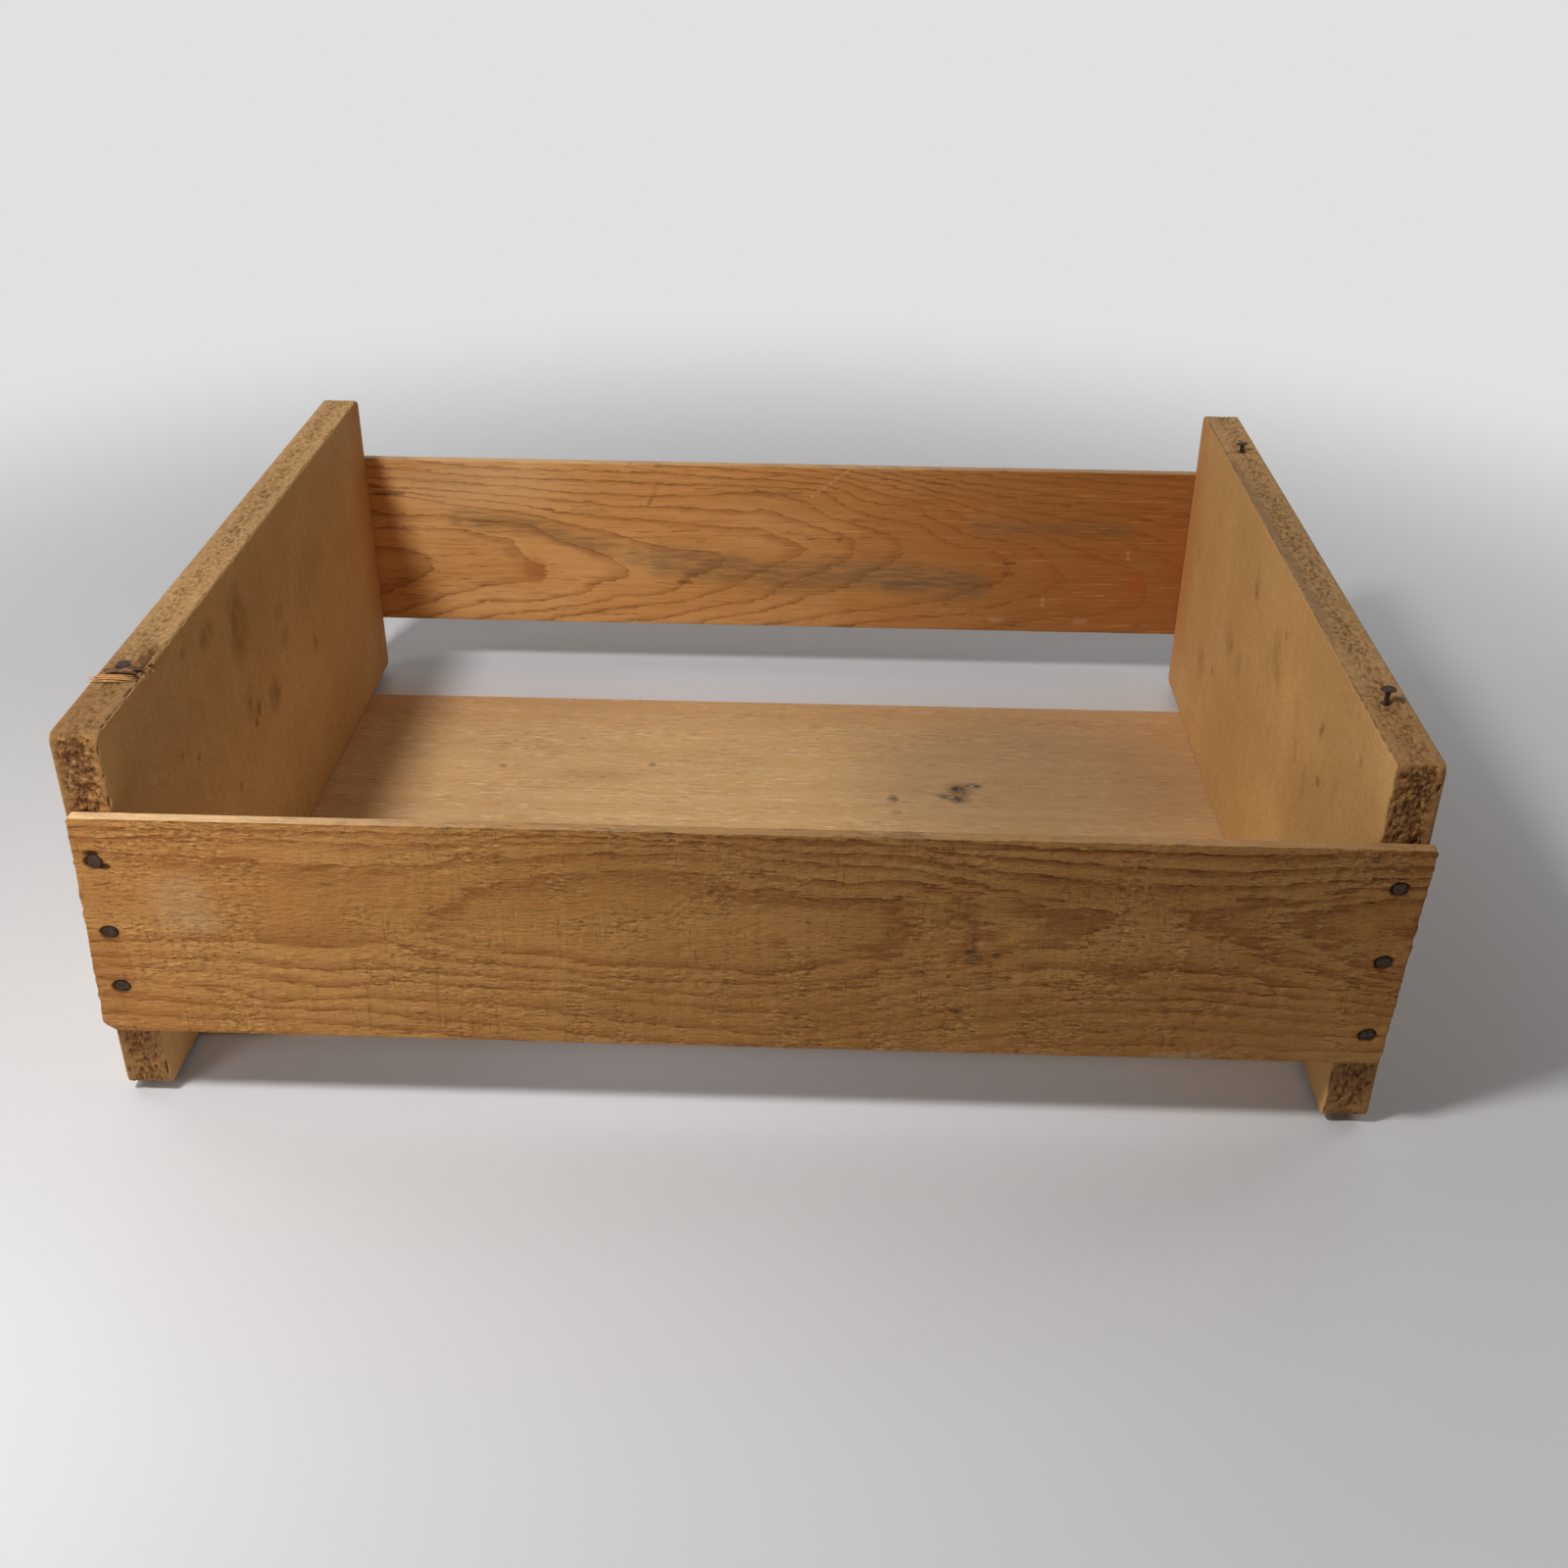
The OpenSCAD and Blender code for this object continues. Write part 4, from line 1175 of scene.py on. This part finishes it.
def strand(path, radius, sides=6):
    """A thin fibre along a path, pointed at both ends."""
    path = np.array(path, float)
    points, faces = [], []
    for k, place in enumerate(path):
        share = k / (len(path) - 1)
        thick = radius * (0.15 + 0.85 * math.sin(math.pi * min(max(share, 0.04), 0.96)) ** 0.6)
        for s in range(sides):
            angle = 2 * math.pi * s / sides
            points.append(place + [0, thick * math.cos(angle), 0.7 * thick * math.sin(angle)])
    for k in range(len(path) - 1):
        for s in range(sides):
            t = (s + 1) % sides
            faces.append((k * sides + s, k * sides + t, (k + 1) * sides + t, (k + 1) * sides + s))
    faces.append(tuple(reversed(range(sides))))
    faces.append(tuple(range((len(path) - 1) * sides, len(path) * sides)))
    return np.array(points), faces


FRESH_STRANDS = [(-220.6, -129.7, -207.6, -129.3, 0.40), (-222.4, -131.2, -207.0, -130.9, 0.46),
                 (-221.4, -132.6, -206.8, -132.5, 0.44), (-222.0, -134.1, -209.0, -133.9, 0.36)]
SCRAP_STRANDS = 9


def splinter(material):
    """A brown scrap of the lid under the nail's head, and fresh strands in front of it."""
    low, high = corners_of("lid_splinter")
    draws = np.random.default_rng(77)
    strands = []
    for x0, y0, x1, y1, radius in FRESH_STRANDS:
        strands.append((1.0, radius, [(x0 + (x1 - x0) * t, y0 + (y1 - y0) * t
                                       + 0.2 * math.sin(4 * t + y0), low[2] + 0.8 * radius
                                       + 0.3 * math.sin(3.1 * t)) for t in np.linspace(0, 1, 11)]))
    for k in range(SCRAP_STRANDS):
        y = low[1] + 1.0 + 6.4 * k / (SCRAP_STRANDS - 1)
        left = -218.5 + 0.25 * k + draws.uniform(-0.8, 0.8)
        right = -207.0 + draws.uniform(-1.2, 1.2)
        lift = 1.2 - 0.6 * k / SCRAP_STRANDS
        strands.append((0.0, draws.uniform(0.6, 0.95),
                        [(left + (right - left) * t, y + 0.3 * math.sin(5 * t + k),
                          low[2] + lift + 0.3 * math.sin(4 * t + k)) for t in np.linspace(0, 1, 9)]))
    points, faces, fresh = [], [], []
    for share, radius, path in strands:
        strand_points, strand_faces = strand(path, radius)
        start = len(fresh)
        faces += [tuple(start + i for i in face) for face in strand_faces]
        points.append(strand_points)
        fresh += [share] * len(strand_points)
    points = np.vstack(points)
    points[:, 2] = np.clip(points[:, 2], low[2], high[2] + 0.6)
    return plain_piece("lid_splinter_torn", "lid_splinter", points, faces, material,
                       {"fresh": fresh})


# Floor, backdrop, light and camera

LIT_POINT = (0.0, 0.0, 0.05)
LIGHT_COLOR = (1, 0.99, 0.98)
FLOOR_HALF = 7.0
FLOOR_FAR = (0.28, 0.9)
ROOM_SEEN = 0.75
LIGHT_AHEAD = 0.02
LIGHT_BEHIND = 0.3


def sheet(name, corners, material):
    mesh = bpy.data.meshes.new(name)
    mesh.from_pydata(corners, [], [(0, 1, 2, 3)])
    mesh.materials.append(material)
    piece = bpy.data.objects.new(name, mesh)
    bpy.context.scene.collection.objects.link(piece)
    return piece


def seeing_rays(tree):
    """1 for rays that look at the background, straight or through gloss or glass, 0 for light."""
    rays = tree.nodes.new("ShaderNodeLightPath")
    seen = rays.outputs["Is Camera Ray"]
    for kind in ("Is Glossy Ray", "Is Transmission Ray"):
        either = tree.nodes.new("ShaderNodeMath")
        either.operation = "MAXIMUM"
        tree.links.new(seen, either.inputs[0])
        tree.links.new(rays.outputs[kind], either.inputs[1])
        seen = either.outputs[0]
    return seen


def floor_material():
    """Pale and a little glossy, and seen far from the crate as bright as the room is."""
    m = Material("pale_floor", 0.4, 0.4)
    cloud = m.noise((300, 300, 300), detail=2.0)
    length = m.tree.nodes.new("ShaderNodeVectorMath")
    length.operation = "LENGTH"
    m.put(length.inputs[0], m.place)
    far = m.step(length.outputs["Value"], *FLOOR_FAR)
    room = m.tree.nodes.new("ShaderNodeEmission")
    room.inputs["Strength"].default_value = ROOM_SEEN
    either = m.tree.nodes.new("ShaderNodeMixShader")
    m.put(either.inputs[0], m.product(far, seeing_rays(m.tree)))
    m.tree.links.new(m.shader.outputs[0], either.inputs[1])
    m.tree.links.new(room.outputs[0], either.inputs[2])
    m.tree.links.new(either.outputs[0], m.tree.nodes["Material Output"].inputs["Surface"])
    return m.finish(m.shade((0.74, 0.74, 0.755), m.around(cloud, 0.03)))


def make_stage():
    floor = floor_material()
    reach = FLOOR_HALF
    sheet("floor", [(-reach, -reach, 0), (reach, -reach, 0), (reach, reach, 0),
                    (-reach, reach, 0)], floor)


def area_light(name, place, width, power):
    light = bpy.data.lights.new(name, "AREA")
    light.shape = "DISK"
    light.size = width
    light.energy = power
    light.color = LIGHT_COLOR
    lamp = bpy.data.objects.new(name, light)
    lamp.location = place
    lamp.rotation_mode = "QUATERNION"
    lamp.rotation_quaternion = (Vector(LIT_POINT) - Vector(place)).to_track_quat("-Z", "Y")
    bpy.context.scene.collection.objects.link(lamp)


def make_light():
    """Soft lights at the left, which the front slat catches most, and weaker ones at the right."""
    area_light("left_low", (-0.36, -0.40, 0.20), 0.14, 0.25)
    area_light("left_high", (-0.36, -0.40, 0.75), 0.14, 4.7)
    area_light("left_back", (-0.62, 0.05, 0.62), 0.2, 0.5)
    area_light("right_back", (0.64, 0.12, 0.45), 0.22, 0.42)


def make_room():
    """A pale room to look at, and a weak light that comes mostly from behind the crate."""
    world = bpy.data.worlds.new("room")
    world.use_nodes = True
    tree = world.node_tree
    shader = tree.nodes["Background"]
    shader.inputs["Color"].default_value = (1, 1, 1, 1)
    way = tree.nodes.new("ShaderNodeSeparateXYZ")
    tree.links.new(tree.nodes.new("ShaderNodeTexCoord").outputs["Generated"], way.inputs[0])
    light = tree.nodes.new("ShaderNodeMapRange")
    light.interpolation_type = "SMOOTHSTEP"
    light.inputs["From Min"].default_value = -0.3
    light.inputs["From Max"].default_value = 0.7
    light.inputs["To Min"].default_value = LIGHT_AHEAD
    light.inputs["To Max"].default_value = LIGHT_BEHIND
    tree.links.new(way.outputs["Y"], light.inputs["Value"])
    strength = tree.nodes.new("ShaderNodeMix")
    tree.links.new(seeing_rays(tree), strength.inputs["Factor"])
    tree.links.new(light.outputs["Result"], strength.inputs["A"])
    strength.inputs["B"].default_value = ROOM_SEEN
    tree.links.new(strength.outputs["Result"], shader.inputs["Strength"])
    bpy.context.scene.world = world


def make_camera():
    """The photograph's camera: 30 degrees down, a little to the right, with a slight roll."""
    data = bpy.data.cameras.new("camera")
    data.lens = 39.79
    data.sensor_width = 36
    data.clip_start = 0.01
    camera = bpy.data.objects.new("camera", data)
    forward = Vector((-0.02307237, 0.86231475, -0.50584675))
    right = Vector((0.99946065, 0.03172244, 0.00849034))
    up = right.cross(forward)
    turn = Matrix((right, up, -forward)).transposed().to_4x4()
    camera.matrix_world = Matrix.Translation((0.0264046, -0.6458656, 0.4136661)) @ turn
    bpy.context.scene.collection.objects.link(camera)
    bpy.context.scene.camera = camera


def main():
    bpy.context.scene.view_settings.view_transform = "Standard"
    wood = chipboard()
    front_slat(sawn_softwood())
    back_slat(planed_softwood())
    bottom_board(pale_softwood())
    end_board("left_end", "left_end_chipboard", wood, -1, 301, LEFT_SMUDGES, LEFT_MARKS)
    end_board("right_end", "right_end_chipboard", wood, 1, 401, RIGHT_SMUDGES,
              RIGHT_MARKS)
    all_nails(rusty_steel())
    splinter(splinter_wood())
    make_stage()
    make_light()
    make_room()
    make_camera()


main()
